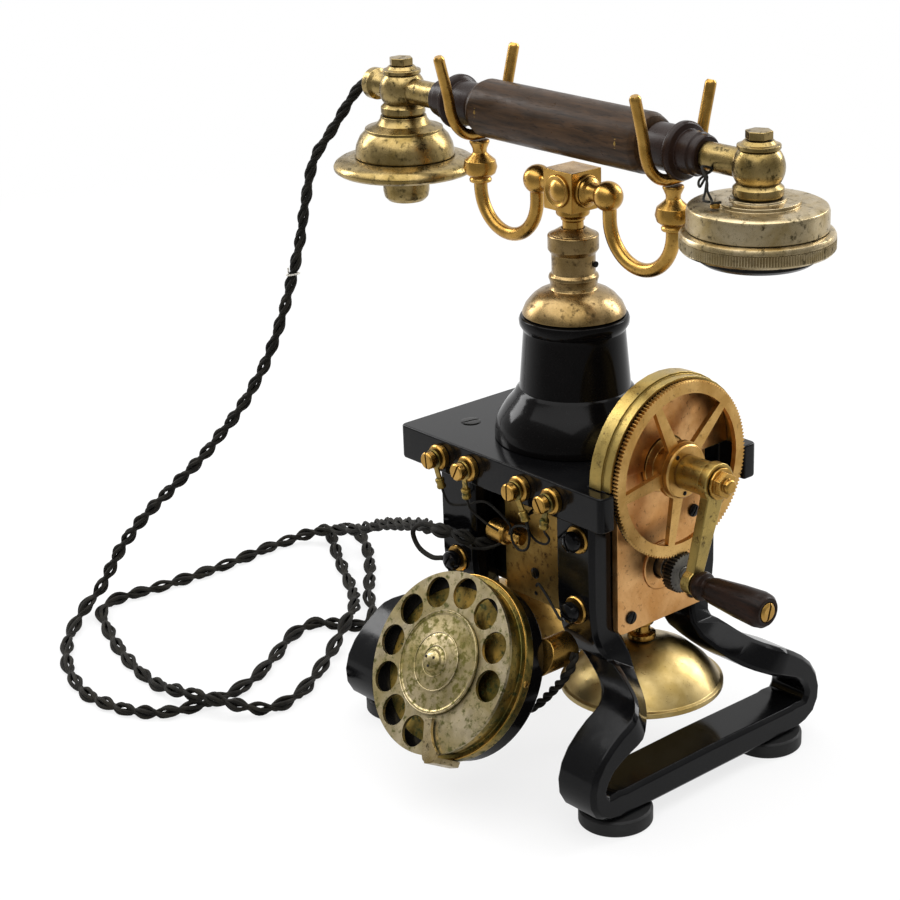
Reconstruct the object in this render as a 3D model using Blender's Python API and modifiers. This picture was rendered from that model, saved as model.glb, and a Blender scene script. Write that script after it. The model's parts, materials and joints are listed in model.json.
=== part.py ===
"""Antique desk telephone with a magneto crank, a finger dial and a handset in a brass cradle.

Sizes are in millimetres and turned into metres by MM. The row frame has +Z up, the dial towards -Y
and the crank on the +X side. Everything hangs from one empty, which puts the middle of the outline
over the origin and the feet on Z = 0.
"""
import math

import bmesh
import bpy
from mathutils import Matrix, Vector

MM = 0.001
GAP = 0.3  # clearance between pieces that touch
RUN = 0.35  # radial clearance of a shaft in its bore

# Driving dimensions, read from the photograph at an overall height of 300.
PLATE_HALF_X = 63.0
PLATE_HALF_Y = 46.3
PLATE_THICK = 15.3
COLUMN_HEIGHT = 54.1
CAP_HEIGHT = 37.1
STEM_BORE = 21.2

FOOT_R = 15.7
FOOT_H = 7.1
FOOT_X = 70.7
FOOT_Y = 46.8

LEG_WIDTH = 22.4
LEG_X = 37.0
LEG_Y = 31.0
LEG_THICK = 12.9
BAR_X = 70.6

SIDE_PLATE_THICK = 3.2
SIDE_PLATE_HALF_Y = 26.0
SIDE_PLATE_BOTTOM = 70.3
MAGNETO_HEIGHT = 70.7
SIDE_PLATE_CROWN = 16.7

GEAR_DROP = 45.9
GEAR_TEETH = 144
PINION_TEETH = 32
GEAR_BACK_X = 61.1
GEAR_THICK = 2.3
AXLE_R = 5.0
SHAFT_R = 3.0
BEARING_R = 12.0
GUARD_LIP = 2.45
GUARD_BACK_X = 49.8

CRANK_THROW = 42.3
CRANK_TILT = math.radians(18.0)
ARM_BACK_X = 79.6
ARM_THICK = 4.7
HANDLE_LENGTH = 38.5

DIAL_Y = -80.6
DIAL_Z = 59.6
DIAL_TILT = math.radians(60.0)
WHEEL_R = 39.1
FINGER_HOLE_R = 6.7
FINGER_CIRCLE_R = 30.7
FINGER_HOLES = 10
CASE_LIP = 0.9
CASE_BACK = 14.2
BASE_INSET = 1.7
BASE_BACK = 23.5
STOP_ANGLE = math.radians(-67.0)
STOP_SPREAD = math.radians(10.5)
STOP_WALL = 2.6
STOP_FRONT = 2.3
PILLAR_X = 31.0
PILLAR_Z = 62.0
PILLAR_R = 7.3

GONG_R = 35.5
GONG_HALF_GAP = 4.0
GONG_HEIGHT = 21.5
GONG_DROP = 12.8
CLAPPER_HUB_R = 3.0

STEM_R = 4.5
STEM_SHOWING = 8.4
BLOCK_HALF = 8.5
FORK_FROM_GRIP = 3.0
BOSS_R = 6.9
BOSS_RISE = 1.3
ARM_BEND_R = 18.0
ARM_R = 2.95
KNOB_TOP = 11.0
FORK_R = 2.4

HANDSET_SHIFT = -3.3
GRIP_HALF = 51.6
GRIP_R = 12.5
COLLAR_LENGTH = 27.5
COLLAR_NECK_R = 9.4
LINK_LENGTH = 26.5
BALL_R = 10.3
SEAT_DROP = 11.2
RECEIVER_R = 32.2
TRANSMITTER_R = 30.2

CORD_R = 2.5

# Sizes that follow from the driving ones.
PLATE_TOP = SIDE_PLATE_BOTTOM + MAGNETO_HEIGHT
PLATE_BOTTOM = PLATE_TOP - PLATE_THICK
COLUMN_TOP = PLATE_TOP + COLUMN_HEIGHT
CAP_TOP = COLUMN_TOP + CAP_HEIGHT
CRADLE_Z = CAP_TOP + STEM_SHOWING + BLOCK_HALF
FORK_Z = CRADLE_Z + KNOB_TOP + GAP + FORK_R
HANDSET_Z = FORK_Z + FORK_R + GAP + COLLAR_NECK_R
CRANK_Z = PLATE_TOP + GAP
PINION_Z = CRANK_Z - GEAR_DROP
SIDE_PLATE_X = LEG_X + LEG_WIDTH / 2 + GAP
GEAR_RATIO = GEAR_TEETH / PINION_TEETH
GEAR_PITCH_R = GEAR_DROP * GEAR_RATIO / (GEAR_RATIO + 1)
PINION_PITCH_R = GEAR_DROP / (GEAR_RATIO + 1)
GEAR_MODULE = 2 * GEAR_PITCH_R / GEAR_TEETH
TOOTH_RISE = 0.7 * GEAR_MODULE
TOOTH_DEPTH = 1.3 * GEAR_MODULE
GUARD_R = GEAR_PITCH_R + GUARD_LIP
NOTCH_HALF_Y = GEAR_PITCH_R + TOOTH_RISE + 0.5
ARM_FRONT_X = ARM_BACK_X + ARM_THICK
CASE_R = WHEEL_R + CASE_LIP
BASE_R = CASE_R - BASE_INSET
GONG_X = GONG_R + GONG_HALF_GAP
GONG_TOP_Z = SIDE_PLATE_BOTTOM - GONG_DROP
GONG_RIM_Z = GONG_TOP_Z - GONG_HEIGHT
BAR_Z = FOOT_H + GAP + LEG_THICK / 2
COLLAR_START = GRIP_HALF + GAP
COLLAR_END = COLLAR_START + COLLAR_LENGTH
BALL_X = COLLAR_END + LINK_LENGTH
FORK_X = GRIP_HALF - HANDSET_SHIFT + FORK_FROM_GRIP

STOP_IN = CASE_R + GAP
STOP_REACH = STOP_IN + STOP_WALL

# The outline without the cord: the cups set its width, the finger stop and the rear curls its depth.
STOP_LOW = STOP_REACH * math.sin(STOP_ANGLE - STOP_SPREAD)
FRONT_Y = DIAL_Y + STOP_LOW * math.cos(DIAL_TILT) - STOP_FRONT * math.sin(DIAL_TILT)
REAR_Y = 70.2
MIDDLE = (HANDSET_SHIFT + (TRANSMITTER_R - RECEIVER_R) / 2, (FRONT_Y + REAR_Y) / 2)

# Turns that lay a piece's own Z axis along a direction of the object.
FACE_RIGHT = (math.pi / 2, 0, math.pi / 2)
FACE_LEFT = (math.pi / 2, 0, -math.pi / 2)
FACE_FRONT = (math.pi / 2, 0, 0)
UPRIGHT = (0, 0, 0)


# ---------------------------------------------------------------- scene and materials

def collection(name):
    made = bpy.data.collections.new(name)
    bpy.context.scene.collection.children.link(made)
    return made


for old in list(bpy.data.objects):
    bpy.data.objects.remove(old)
PARTS = collection("telephone")
CUTTERS = collection("cutters")


def material(name, colour, roughness, metallic):
    made = bpy.data.materials.new(name)
    made.use_nodes = True
    shader = made.node_tree.nodes["Principled BSDF"]
    shader.inputs["Base Color"].default_value = (*colour, 1)
    shader.inputs["Roughness"].default_value = roughness
    shader.inputs["Metallic"].default_value = metallic
    made.diffuse_color = (*colour, 1)
    return made


JAPANNED = material("black_japan", (0.012, 0.012, 0.014), 0.22, 0.0)
EBONIZED = material("ebonized_wood", (0.014, 0.012, 0.012), 0.25, 0.0)
WOOD = material("dark_wood", (0.055, 0.022, 0.014), 0.35, 0.0)
GOLD_BRASS = material("gold_brass", (0.62, 0.38, 0.12), 0.28, 1.0)
DULL_BRASS = material("dull_brass", (0.50, 0.40, 0.22), 0.35, 1.0)
COPPER_BRASS = material("copper_brass", (0.70, 0.40, 0.20), 0.32, 1.0)
STEEL = material("dark_steel", (0.10, 0.10, 0.10), 0.35, 1.0)
EBONITE = material("ebonite", (0.012, 0.012, 0.012), 0.3, 0.0)
RUBBER = material("black_rubber", (0.015, 0.015, 0.015), 0.7, 0.0)
CLOTH = material("cord_cloth", (0.02, 0.02, 0.02), 0.9, 0.0)


# ---------------------------------------------------------------- building blocks

def scaled(points):
    return [tuple(c * MM for c in p) for p in points]


def place(obj, at, turn, parent):
    obj.location = Vector(at) * MM
    obj.rotation_euler = turn
    obj.parent = parent
    return obj


def empty(name, at, turn=UPRIGHT, parent=None):
    made = bpy.data.objects.new(name, None)
    PARTS.objects.link(made)
    return place(made, at, turn, parent)


def finish(obj, name, paint, smooth=True):
    """Name an object, paint it and shade its round faces smooth."""
    obj.name = name
    obj.data.materials.clear()
    obj.data.materials.append(paint)
    if smooth and obj.type == "MESH":
        obj.data.shade_smooth()
        obj.data.set_sharp_from_angle(angle=math.radians(35))
    return obj


def into(obj, group):
    for home in list(obj.users_collection):
        home.objects.unlink(obj)
    group.objects.link(obj)
    return obj


def turned(name, profile, paint, at=(0, 0, 0), turn=UPRIGHT, parent=None, steps=16, ring=False):
    """A lathe shape: profile holds (radius, height) from the top down its outer side."""
    mesh = bpy.data.meshes.new(name)
    count = len(profile)
    edges = [(i, i + 1) for i in range(count - 1)]
    if ring:
        edges.append((count - 1, 0))
    mesh.from_pydata(scaled([(r, 0, z) for r, z in profile]), edges, [])
    obj = bpy.data.objects.new(name, mesh)
    PARTS.objects.link(obj)
    screw = obj.modifiers.new("turn", "SCREW")
    screw.axis = "Z"
    screw.steps = steps
    screw.render_steps = steps
    screw.use_merge_vertices = True
    screw.merge_threshold = 1e-6
    screw.use_smooth_shade = True
    finish(obj, name, paint, smooth=False)
    return place(obj, at, turn, parent)


def slab(name, outline, thick, paint, at=(0, 0, 0), turn=UPRIGHT, parent=None, holes=()):
    """A flat piece cut from sheet: an outline, with holes, thickened both ways along its own Z."""
    curve = bpy.data.curves.new(name, "CURVE")
    curve.dimensions = "2D"
    curve.fill_mode = "BOTH"
    curve.extrude = thick / 2 * MM
    for loop in (outline, *holes):
        spline = curve.splines.new("POLY")
        spline.points.add(len(loop) - 1)
        for point, (x, y) in zip(spline.points, loop):
            point.co = (x * MM, y * MM, 0, 1)
        spline.use_cyclic_u = True
    obj = bpy.data.objects.new(name, curve)
    PARTS.objects.link(obj)
    finish(obj, name, paint)
    return place(obj, at, turn, parent)


def tube(name, points, radius, paint, at=(0, 0, 0), turn=UPRIGHT, parent=None, resolution=2):
    """A round rod or cord along a list of points."""
    curve = bpy.data.curves.new(name, "CURVE")
    curve.dimensions = "3D"
    curve.bevel_depth = radius * MM
    curve.bevel_resolution = resolution
    curve.use_fill_caps = True
    spline = curve.splines.new("POLY")
    spline.points.add(len(points) - 1)
    for point, place_mm in zip(spline.points, points):
        point.co = (*(c * MM for c in place_mm), 1)
    obj = bpy.data.objects.new(name, curve)
    PARTS.objects.link(obj)
    finish(obj, name, paint)
    return place(obj, at, turn, parent)


def box(name, size, paint, at=(0, 0, 0), turn=UPRIGHT, parent=None, edge=0.0):
    """A block, with its edges rounded when edge is given."""
    bpy.ops.mesh.primitive_cube_add(size=1)
    obj = bpy.context.object
    for vertex in obj.data.vertices:
        vertex.co = Vector(a * b * MM for a, b in zip(vertex.co, size))
    into(obj, PARTS)
    if edge:
        bevel = obj.modifiers.new("edge", "BEVEL")
        bevel.width = edge * MM
        bevel.segments = 2
    finish(obj, name, paint, smooth=False)
    return place(obj, at, turn, parent)


def rod(name, radius, length, paint, at=(0, 0, 0), turn=UPRIGHT, parent=None, sides=16):
    """A plain cylinder, centred on its place, along its own Z."""
    bpy.ops.mesh.primitive_cylinder_add(radius=radius * MM, depth=length * MM, vertices=sides)
    obj = into(bpy.context.object, PARTS)
    finish(obj, name, paint)
    return place(obj, at, turn, parent)


def as_mesh(obj):
    """The same object as a closed mesh, for a curve that is cut or joined."""
    bpy.context.view_layer.update()
    shape = bpy.data.meshes.new_from_object(obj.evaluated_get(bpy.context.evaluated_depsgraph_get()))
    work = bmesh.new()
    work.from_mesh(shape)
    bmesh.ops.remove_doubles(work, verts=work.verts, dist=1e-6)
    bmesh.ops.recalc_face_normals(work, faces=work.faces)
    work.to_mesh(shape)
    work.free()
    made = bpy.data.objects.new(obj.name, shape)
    PARTS.objects.link(made)
    made.parent = obj.parent
    made.matrix_world = obj.matrix_world
    name = obj.name
    bpy.data.objects.remove(obj)
    made.name = name
    return made


def combine(obj, tool, operation):
    """Join a second shape to a piece, or cut it out of the piece."""
    into(tool, CUTTERS)
    tool.hide_render = True
    tool.display_type = "WIRE"
    step = obj.modifiers.new(operation.lower(), "BOOLEAN")
    step.operation = operation
    step.solver = "EXACT"
    step.object = tool
    return obj


def join(obj, tool):
    return combine(obj, tool, "UNION")


def cut(obj, tool):
    return combine(obj, tool, "DIFFERENCE")


def arc(radius, start, end, count, centre=(0, 0)):
    """Points of a circle from one angle to another, both included."""
    angles = [start + (end - start) * i / (count - 1) for i in range(count)]
    return [(centre[0] + radius * math.cos(a), centre[1] + radius * math.sin(a)) for a in angles]


def rounded_rectangle(half_x, half_y, radius, count=3):
    points = []
    for corner, (sx, sy) in enumerate(((1, 1), (-1, 1), (-1, -1), (1, -1))):
        middle = (sx * (half_x - radius), sy * (half_y - radius))
        start = corner * math.pi / 2
        points += arc(radius, start, start + math.pi / 2, count, middle)
    return points


def smooth_path(route, step):
    """Points of a smooth curve through a route, about one step apart (centripetal Catmull-Rom)."""
    nodes = [Vector(p) for p in route]
    nodes = [2 * nodes[0] - nodes[1], *nodes, 2 * nodes[-1] - nodes[-2]]
    path = [nodes[1]]
    for a, b, c, d in zip(nodes, nodes[1:], nodes[2:], nodes[3:]):
        ta = 0.0
        tb = ta + math.sqrt((b - a).length)
        tc = tb + math.sqrt((c - b).length)
        td = tc + math.sqrt((d - c).length)
        count = max(1, round((c - b).length / step))
        for i in range(1, count + 1):
            t = tb + (tc - tb) * i / count
            ab = a.lerp(b, (t - ta) / (tb - ta))
            bc = b.lerp(c, (t - tb) / (tc - tb))
            cd = c.lerp(d, (t - tc) / (td - tc))
            first = ab.lerp(bc, (t - ta) / (tc - ta))
            second = bc.lerp(cd, (t - tb) / (td - tb))
            path.append(first.lerp(second, (t - tb) / (tc - tb)))
    return path


# ---------------------------------------------------------------- frame and body

# Half of the lyre's centre line, from a leg down to the middle of the floor bar: distance from the
# middle plane, height when the magneto's floor is at DRAWN_FLOOR, sideways place, thickness.
LYRE = [
    (LEG_Y, 85.0, LEG_X, LEG_THICK),
    (29.2, 72.4, LEG_X, LEG_THICK),
    (27.8, 68.8, LEG_X + 0.3, LEG_THICK),
    (25.2, 61.3, 41.4, LEG_THICK),
    (27.8, 55.4, 50.4, LEG_THICK),
    (33.8, 48.9, 62.5, LEG_THICK),
    (43.5, 44.0, BAR_X, LEG_THICK),
    (50.3, 40.4, BAR_X, 12.4),
    (60.6, 33.5, BAR_X, 10.2),
    (65.7, 23.8, BAR_X, 9.0),
    (63.0, 15.9, BAR_X, 10.4),
    (54.5, BAR_Z, BAR_X, LEG_THICK),
    (0.0, BAR_Z, BAR_X, LEG_THICK),
]
DRAWN_FLOOR = 70.3
LYRE_STEP = 5.0
STRAP_EDGE = 1.8
BAR_HALF = 48.0


def lyre_stations():
    """Centre points and thicknesses along the whole lyre, from the front leg to the rear leg."""
    stretch = (SIDE_PLATE_BOTTOM - BAR_Z) / (DRAWN_FLOOR - BAR_Z)
    rows = [(LEG_Y, PLATE_BOTTOM - GAP, LEG_X, LEG_THICK)]
    rows += [(y, BAR_Z + (z - BAR_Z) * stretch, x, thick) for y, z, x, thick in LYRE]
    leg_top = rows[0][1]
    leg_end = rows[1][1]
    half = []
    for point in smooth_path([(-y, z, x) for y, z, x, _ in rows], LYRE_STEP):
        on_leg = leg_end + 1 < point[1] < leg_top - 1
        on_bar = 1 < abs(point[0]) < BAR_HALF and point[1] < BAR_Z + 0.5
        if not on_leg and not on_bar:
            half.append(point)
    thick = []
    for point in half:
        near = sorted(rows, key=lambda row: (row[0] + point[0]) ** 2 + (row[1] - point[1]) ** 2)[:2]
        away = [math.hypot(row[0] + point[0], row[1] - point[1]) + 0.01 for row in near]
        thick.append((near[0][3] / away[0] + near[1][3] / away[1]) / (1 / away[0] + 1 / away[1]))
    rear = [Vector((-p[0], p[1], p[2])) for p in reversed(half[:-1])]
    return half + rear, thick + thick[-2::-1]


def lyre(name, side, parent):
    """A cast strap of level width that sweeps down and out from the legs to the floor bar."""
    points, thick = lyre_stations()
    work = bmesh.new()
    rings = []
    for i, (point, depth) in enumerate(zip(points, thick)):
        ahead = points[min(i + 1, len(points) - 1)] - points[max(i - 1, 0)]
        along = Vector((ahead[0], ahead[1])).normalized()
        across = Vector((-along[1], along[0]))
        ring = []
        for u, v in rounded_rectangle(LEG_WIDTH / 2, depth / 2, STRAP_EDGE, 2):
            spot = (side * (point[2] + u), point[0] + across[0] * v, point[1] + across[1] * v)
            ring.append(work.verts.new(Vector(spot) * MM))
        rings.append(ring)
    for ring, following in zip(rings, rings[1:]):
        for i in range(len(ring)):
            j = (i + 1) % len(ring)
            work.faces.new((ring[i], ring[j], following[j], following[i]))
    work.faces.new(rings[0])
    work.faces.new(rings[-1])
    bmesh.ops.recalc_face_normals(work, faces=work.faces)
    mesh = bpy.data.meshes.new(name)
    work.to_mesh(mesh)
    work.free()
    obj = bpy.data.objects.new(name, mesh)
    PARTS.objects.link(obj)
    finish(obj, name, JAPANNED)
    return place(obj, (0, 0, 0), UPRIGHT, parent)


def feet(parent):
    for end, sy in (("front", -1), ("rear", 1)):
        for hand, sx in (("left", -1), ("right", 1)):
            profile = [(0, FOOT_H), (FOOT_R - 1, FOOT_H), (FOOT_R, FOOT_H - 1), (FOOT_R, 0.8),
                       (FOOT_R - 0.8, 0), (0, 0)]
            turned(f"foot_{end}_{hand}", profile, RUBBER, (sx * FOOT_X, sy * FOOT_Y, 0), UPRIGHT, parent)


def top_plate(parent):
    """The black top, with a notch in its crank side for the gear."""
    corner = arc(2.5, 0, math.pi / 2, 3, (PLATE_HALF_X - 2.5, PLATE_HALF_Y - 2.5))
    upper = corner + [(-x, y) for x, y in reversed(corner)]
    inner = SIDE_PLATE_X - GAP
    notch = [(PLATE_HALF_X, -NOTCH_HALF_Y), (inner, -NOTCH_HALF_Y), (inner, NOTCH_HALF_Y),
             (PLATE_HALF_X, NOTCH_HALF_Y)]
    outline = upper + [(x, -y) for x, y in reversed(upper)] + notch
    middle = (PLATE_TOP + PLATE_BOTTOM) / 2
    slab("top_plate", outline, PLATE_THICK, JAPANNED, (0, 0, middle), UPRIGHT, parent)


def column(parent):
    top = COLUMN_HEIGHT
    profile = [(0, top), (21.0, top), (23.0, top - 0.7), (23.5, top - 2.1), (23.3, top - 4.2),
               (21.9, top - 6.5), (21.9, top - 8.5), (23.9, 22.2), (25.4, 20.8), (26.2, 19.0), (29.4, 15.3),
               (33.5, 9.7), (34.9, 3.6), (34.9, GAP), (0, GAP)]
    turned("column", profile, EBONIZED, (0, 0, PLATE_TOP), UPRIGHT, parent, 24)


def column_cap(parent):
    """The brass cap, with the blind bore that the cradle's stem slides in; heights are from its top."""
    bore = STEM_R + RUN
    bore_end = -STEM_BORE
    foot = GAP - CAP_HEIGHT
    profile = [(0, bore_end), (bore, bore_end), (bore, 0), (bore + 0.7, 0), (9.3, -2.2), (9.6, -2.6),
               (10.4, -2.6), (10.8, -3.1), (10.8, -8.9), (9.3, -11.0), (9.3, -19.2), (10.4, -20.1),
               (10.7, -21.2), (10.2, -22.5), (9.9, -24.4), (10.6, -25.8), (12.6, -26.5), (15.4, -27.7),
               (17.7, -29.4), (20.6, -32.8), (22.0, foot + 0.8), (22.0, foot), (0, foot)]
    turned("column_cap", profile, DULL_BRASS, (0, 0, CAP_TOP), UPRIGHT, parent, 20)


# ---------------------------------------------------------------- cradle

def cradle_block(parent):
    """The cube on its stem, with a domed boss on the front and a ring on the other three sides."""
    size = 2 * BLOCK_HALF
    block = box("cradle_block", (size, size, size), GOLD_BRASS, (0, 0, 0), UPRIGHT, parent)
    under = -BLOCK_HALF
    end = 2 - BLOCK_HALF - STEM_SHOWING - STEM_BORE
    profile = [(0, under + 4), (7.1, under + 4), (7.1, under - 2.2), (6.7, under - 2.8), (5.2, under - 3.8),
               (5.2, under - 4.6), (STEM_R, under - 5.4), (STEM_R, end), (0, end)]
    join(block, turned("stem", profile, GOLD_BRASS, (0, 0, 0), UPRIGHT, parent))
    face = BLOCK_HALF + BOSS_RISE
    dome = [(0, face + 1.2), (2.4, face + 0.9), (4.0, face), (4.7, face - 0.7), (5.3, face - 0.6),
            (6.3, face), (BOSS_R, face - 0.5), (BOSS_R, 0), (0, 0)]
    join(block, turned("front_boss", dome, GOLD_BRASS, (0, 0, 0), FACE_FRONT, parent))
    join(block, rod("rear_boss", BOSS_R, face, GOLD_BRASS, (0, face / 2, 0), FACE_FRONT, parent))
    join(block, rod("side_boss", BOSS_R, 2 * face, GOLD_BRASS, (0, 0, 0), FACE_RIGHT, parent))


def cradle_arm(name, side, parent):
    """A ball, a U-shaped rod and a turned knob."""
    bend_z = -9.1
    ball_r = 6.3
    ball_inset = 0.8
    knob = [(0, KNOB_TOP), (4.2, KNOB_TOP), (4.4, KNOB_TOP - 0.9), (3.1, 7.3), (3.0, 5.6), (4.0, 4.5),
            (6.7, 2.2), (7.4, -0.8), (6.6, -3.5), (4.3, -5.2), (4.9, -6.1), (4.7, -7.2),
            (ARM_R + 0.1, -7.8), (ARM_R - 0.4, -8.5), (0, -8.5)]
    obj = turned(name, knob, GOLD_BRASS, (side * FORK_X, 0, 0), UPRIGHT, parent, 14)
    ball_x = FORK_X - 2 * ARM_BEND_R
    route = [(side * ball_x, 0, 0), (side * ball_x, 0, bend_z + 1)]
    route += [(side * (FORK_X - ARM_BEND_R + x), 0, bend_z + z) for x,
              z in arc(ARM_BEND_R, math.pi, 2 * math.pi, 11)]
    route += [(side * FORK_X, 0, bend_z + 4)]
    join(obj, as_mesh(tube("bend", route, ARM_R, GOLD_BRASS, (0, 0, 0), UPRIGHT, parent)))
    bpy.ops.mesh.primitive_uv_sphere_add(radius=ball_r * MM, segments=14, ring_count=8)
    ball = place(into(bpy.context.object, PARTS), (side * (ball_x - ball_inset), 0, 0), UPRIGHT, parent)
    join(obj, ball)
    inner = BLOCK_HALF + BOSS_RISE + GAP
    neck = [(0, ball_x - 3), (3.7, ball_x - 3), (3.7, inner + 3.4), (4.3, inner + 1.8), (5.8, inner + 0.9),
            (6.2, inner), (0, inner)]
    join(obj, turned("neck", neck, GOLD_BRASS, (0, 0, 0), FACE_RIGHT if side > 0 else FACE_LEFT, parent,
                     14))


# Half of a fork's centre line: distance from the middle plane and height over its lowest point.
FORK = [(0, 0), (4.0, 0.15), (7.8, 1.25), (11.0, 3.55), (13.4, 6.55), (15.4, 11.55), (16.7, 18.15),
        (18.6, 25.75), (21.0, 34.6)]


FORK_TIP = 1.6
FORK_TIP_WIDTH = 0.62


def cradle_fork(name, side, parent):
    """A rod bent into a wide U, with its two ends drawn in."""
    half = [Vector((0, y, z)) for y, z in FORK]
    half.append(half[-1] + (half[-1] - half[-2]).normalized() * FORK_TIP)
    route = [Vector((0, -p[1], p[2])) for p in reversed(half[1:])] + half
    obj = tube(name, route, FORK_R, GOLD_BRASS, (side * FORK_X, 0, FORK_Z - CRADLE_Z), UPRIGHT, parent)
    ends = obj.data.splines[0].points
    ends[0].radius = FORK_TIP_WIDTH
    ends[-1].radius = FORK_TIP_WIDTH


# ---------------------------------------------------------------- handset

def handset(parent):
    """The grip, the two jointed ends, the receiver on the left and the transmitter on the right."""
    grip = [(0, GRIP_HALF), (8.6, GRIP_HALF), (11.3, GRIP_HALF - 1.2), (GRIP_R, GRIP_HALF - 4.2),
            (GRIP_R, 4.2 - GRIP_HALF), (11.3, 1.2 - GRIP_HALF), (8.6, -GRIP_HALF), (0, -GRIP_HALF)]
    turned("handset_grip", grip, WOOD, (0, 0, 0), FACE_RIGHT, parent, 20)
    near = COLLAR_START
    end = COLLAR_END
    collar = [(0, end), (7.4, end), (8.0, end - 0.8), (8.0, end - 3.1), (8.8, end - 3.8), (8.8, end - 9.8),
              (11.0, end - 10.4), (11.8, end - 11.4), (11.8, end - 13.2), (11.0, end - 14.2),
              (COLLAR_NECK_R, end - 15.0), (COLLAR_NECK_R, near + 2), (COLLAR_NECK_R - 1, near), (0, near)]
    link_start = end + GAP
    nut_high = 3.3
    boss = [(0, 20.7), (6.6, 20.7), (7.1, 20.0), (7.1, 16.4), (5.4, 15.2), (4.6, BALL_R + GAP),
            (0, BALL_R + GAP)]
    for hand, turn, side in (("receiver", FACE_LEFT, -1), ("transmitter", FACE_RIGHT, 1)):
        turned(f"{hand}_collar", collar, EBONIZED, (0, 0, 0), turn, parent)
        bpy.ops.mesh.primitive_uv_sphere_add(radius=BALL_R * MM, segments=16, ring_count=10)
        joint = place(into(bpy.context.object, PARTS), (side * BALL_X, 0, 0), UPRIGHT, parent)
        finish(joint, f"{hand}_joint", DULL_BRASS)
        reach = BALL_X - 4 - link_start
        join(joint, rod("link", 5.7, reach, DULL_BRASS, (side * (link_start + reach / 2), 0, 0), FACE_RIGHT,
                        parent, 12))
        top = BALL_R + 0.2
        washer = [(0, top), (5.7, top), (7.0, 9.2), (8.5, 8.8), (8.5, 7.3), (6.5, 6.4), (0, 6.4)]
        join(joint, turned("washer", washer, DULL_BRASS, (side * BALL_X, 0, 0), UPRIGHT, parent, 16))
        seat = [(0, -6), (8.2, -6), (9.9, -7.6), (9.9, 1 - SEAT_DROP), (9.2, -SEAT_DROP), (0, -SEAT_DROP)]
        join(joint, turned("seat", seat, DULL_BRASS, (side * BALL_X, 0, 0), UPRIGHT, parent, 16))
        rod(f"{hand}_nut", 5.5, nut_high, DULL_BRASS, (side * BALL_X, 0, top + GAP + nut_high / 2), UPRIGHT,
            parent, 6)
    turned("cord_boss", boss, DULL_BRASS, (-BALL_X, 0, 0), FACE_LEFT, parent, 16)
    receiver(parent)
    transmitter(parent)


def receiver(parent):
    """A bell-shaped shell, a wide rim and the ear nub below it; heights are from the handset's axis."""
    at = (-BALL_X, 0, 0)
    top = -SEAT_DROP - GAP
    shell_end = -29.6
    shell = [(0, top), (10.2, top), (10.6, -13.2), (12.2, -15.2), (16.0, -16.6), (17.4, -17.0),
             (17.5, -18.2), (19.9, -20.8), (21.6, -24.4), (22.4, -28.6), (22.4, shell_end), (0, shell_end)]
    turned("receiver_shell", shell, DULL_BRASS, at, UPRIGHT, parent, 20)
    upper = shell_end - GAP
    rim_end = -37.4
    rim = [(0, upper), (24.6, upper), (26.2, upper - 0.9), (29.6, upper - 1.3), (RECEIVER_R - 0.8, -32.4),
           (RECEIVER_R, -34.0), (RECEIVER_R - 0.3, -35.4), (RECEIVER_R - 1.9, -36.6), (14.0, rim_end),
           (0, rim_end)]
    turned("receiver_rim", rim, DULL_BRASS, at, UPRIGHT, parent, 24)
    start = rim_end - GAP
    ear = [(0, start), (10.4, start), (10.4, -45.6), (9.8, -48.4), (8.2, -50.1), (6.0, -50.7), (0, -50.7)]
    turned("receiver_earpiece", ear, DULL_BRASS, at, UPRIGHT, parent, 16)


def transmitter(parent):
    """A drum on a stepped neck, the wide ring screwed on it and the mouthpiece inside the ring."""
    at = (BALL_X, 0, 0)
    top = -SEAT_DROP - GAP
    case_end = -23.6
    case = [(0, top), (11.0, top), (11.0, -12.3), (16.5, -12.3), (16.5, -13.8), (25.0, -13.9),
            (26.9, -14.8), (27.5, -16.4), (27.5, case_end), (0, case_end)]
    turned("transmitter_case", case, DULL_BRASS, at, UPRIGHT, parent, 24)
    start = case_end - GAP
    end = -31.9
    mouth_r = 23.7
    ring = [(mouth_r + GAP, start), (28.0, start), (29.6, start - 0.7), (TRANSMITTER_R, start - 2.2),
            (TRANSMITTER_R, end + 0.9), (TRANSMITTER_R - 1, end), (mouth_r + GAP, end)]
    turned("transmitter_ring", ring, DULL_BRASS, at, UPRIGHT, parent, 24, ring=True)
    mouth = [(0, start), (mouth_r, start), (mouth_r, -34.8), (21.5, -36.4), (12.0, -34.4), (0, -33.6)]
    turned("transmitter_mouthpiece", mouth, EBONITE, at, UPRIGHT, parent, 20)


# ---------------------------------------------------------------- magneto

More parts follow.
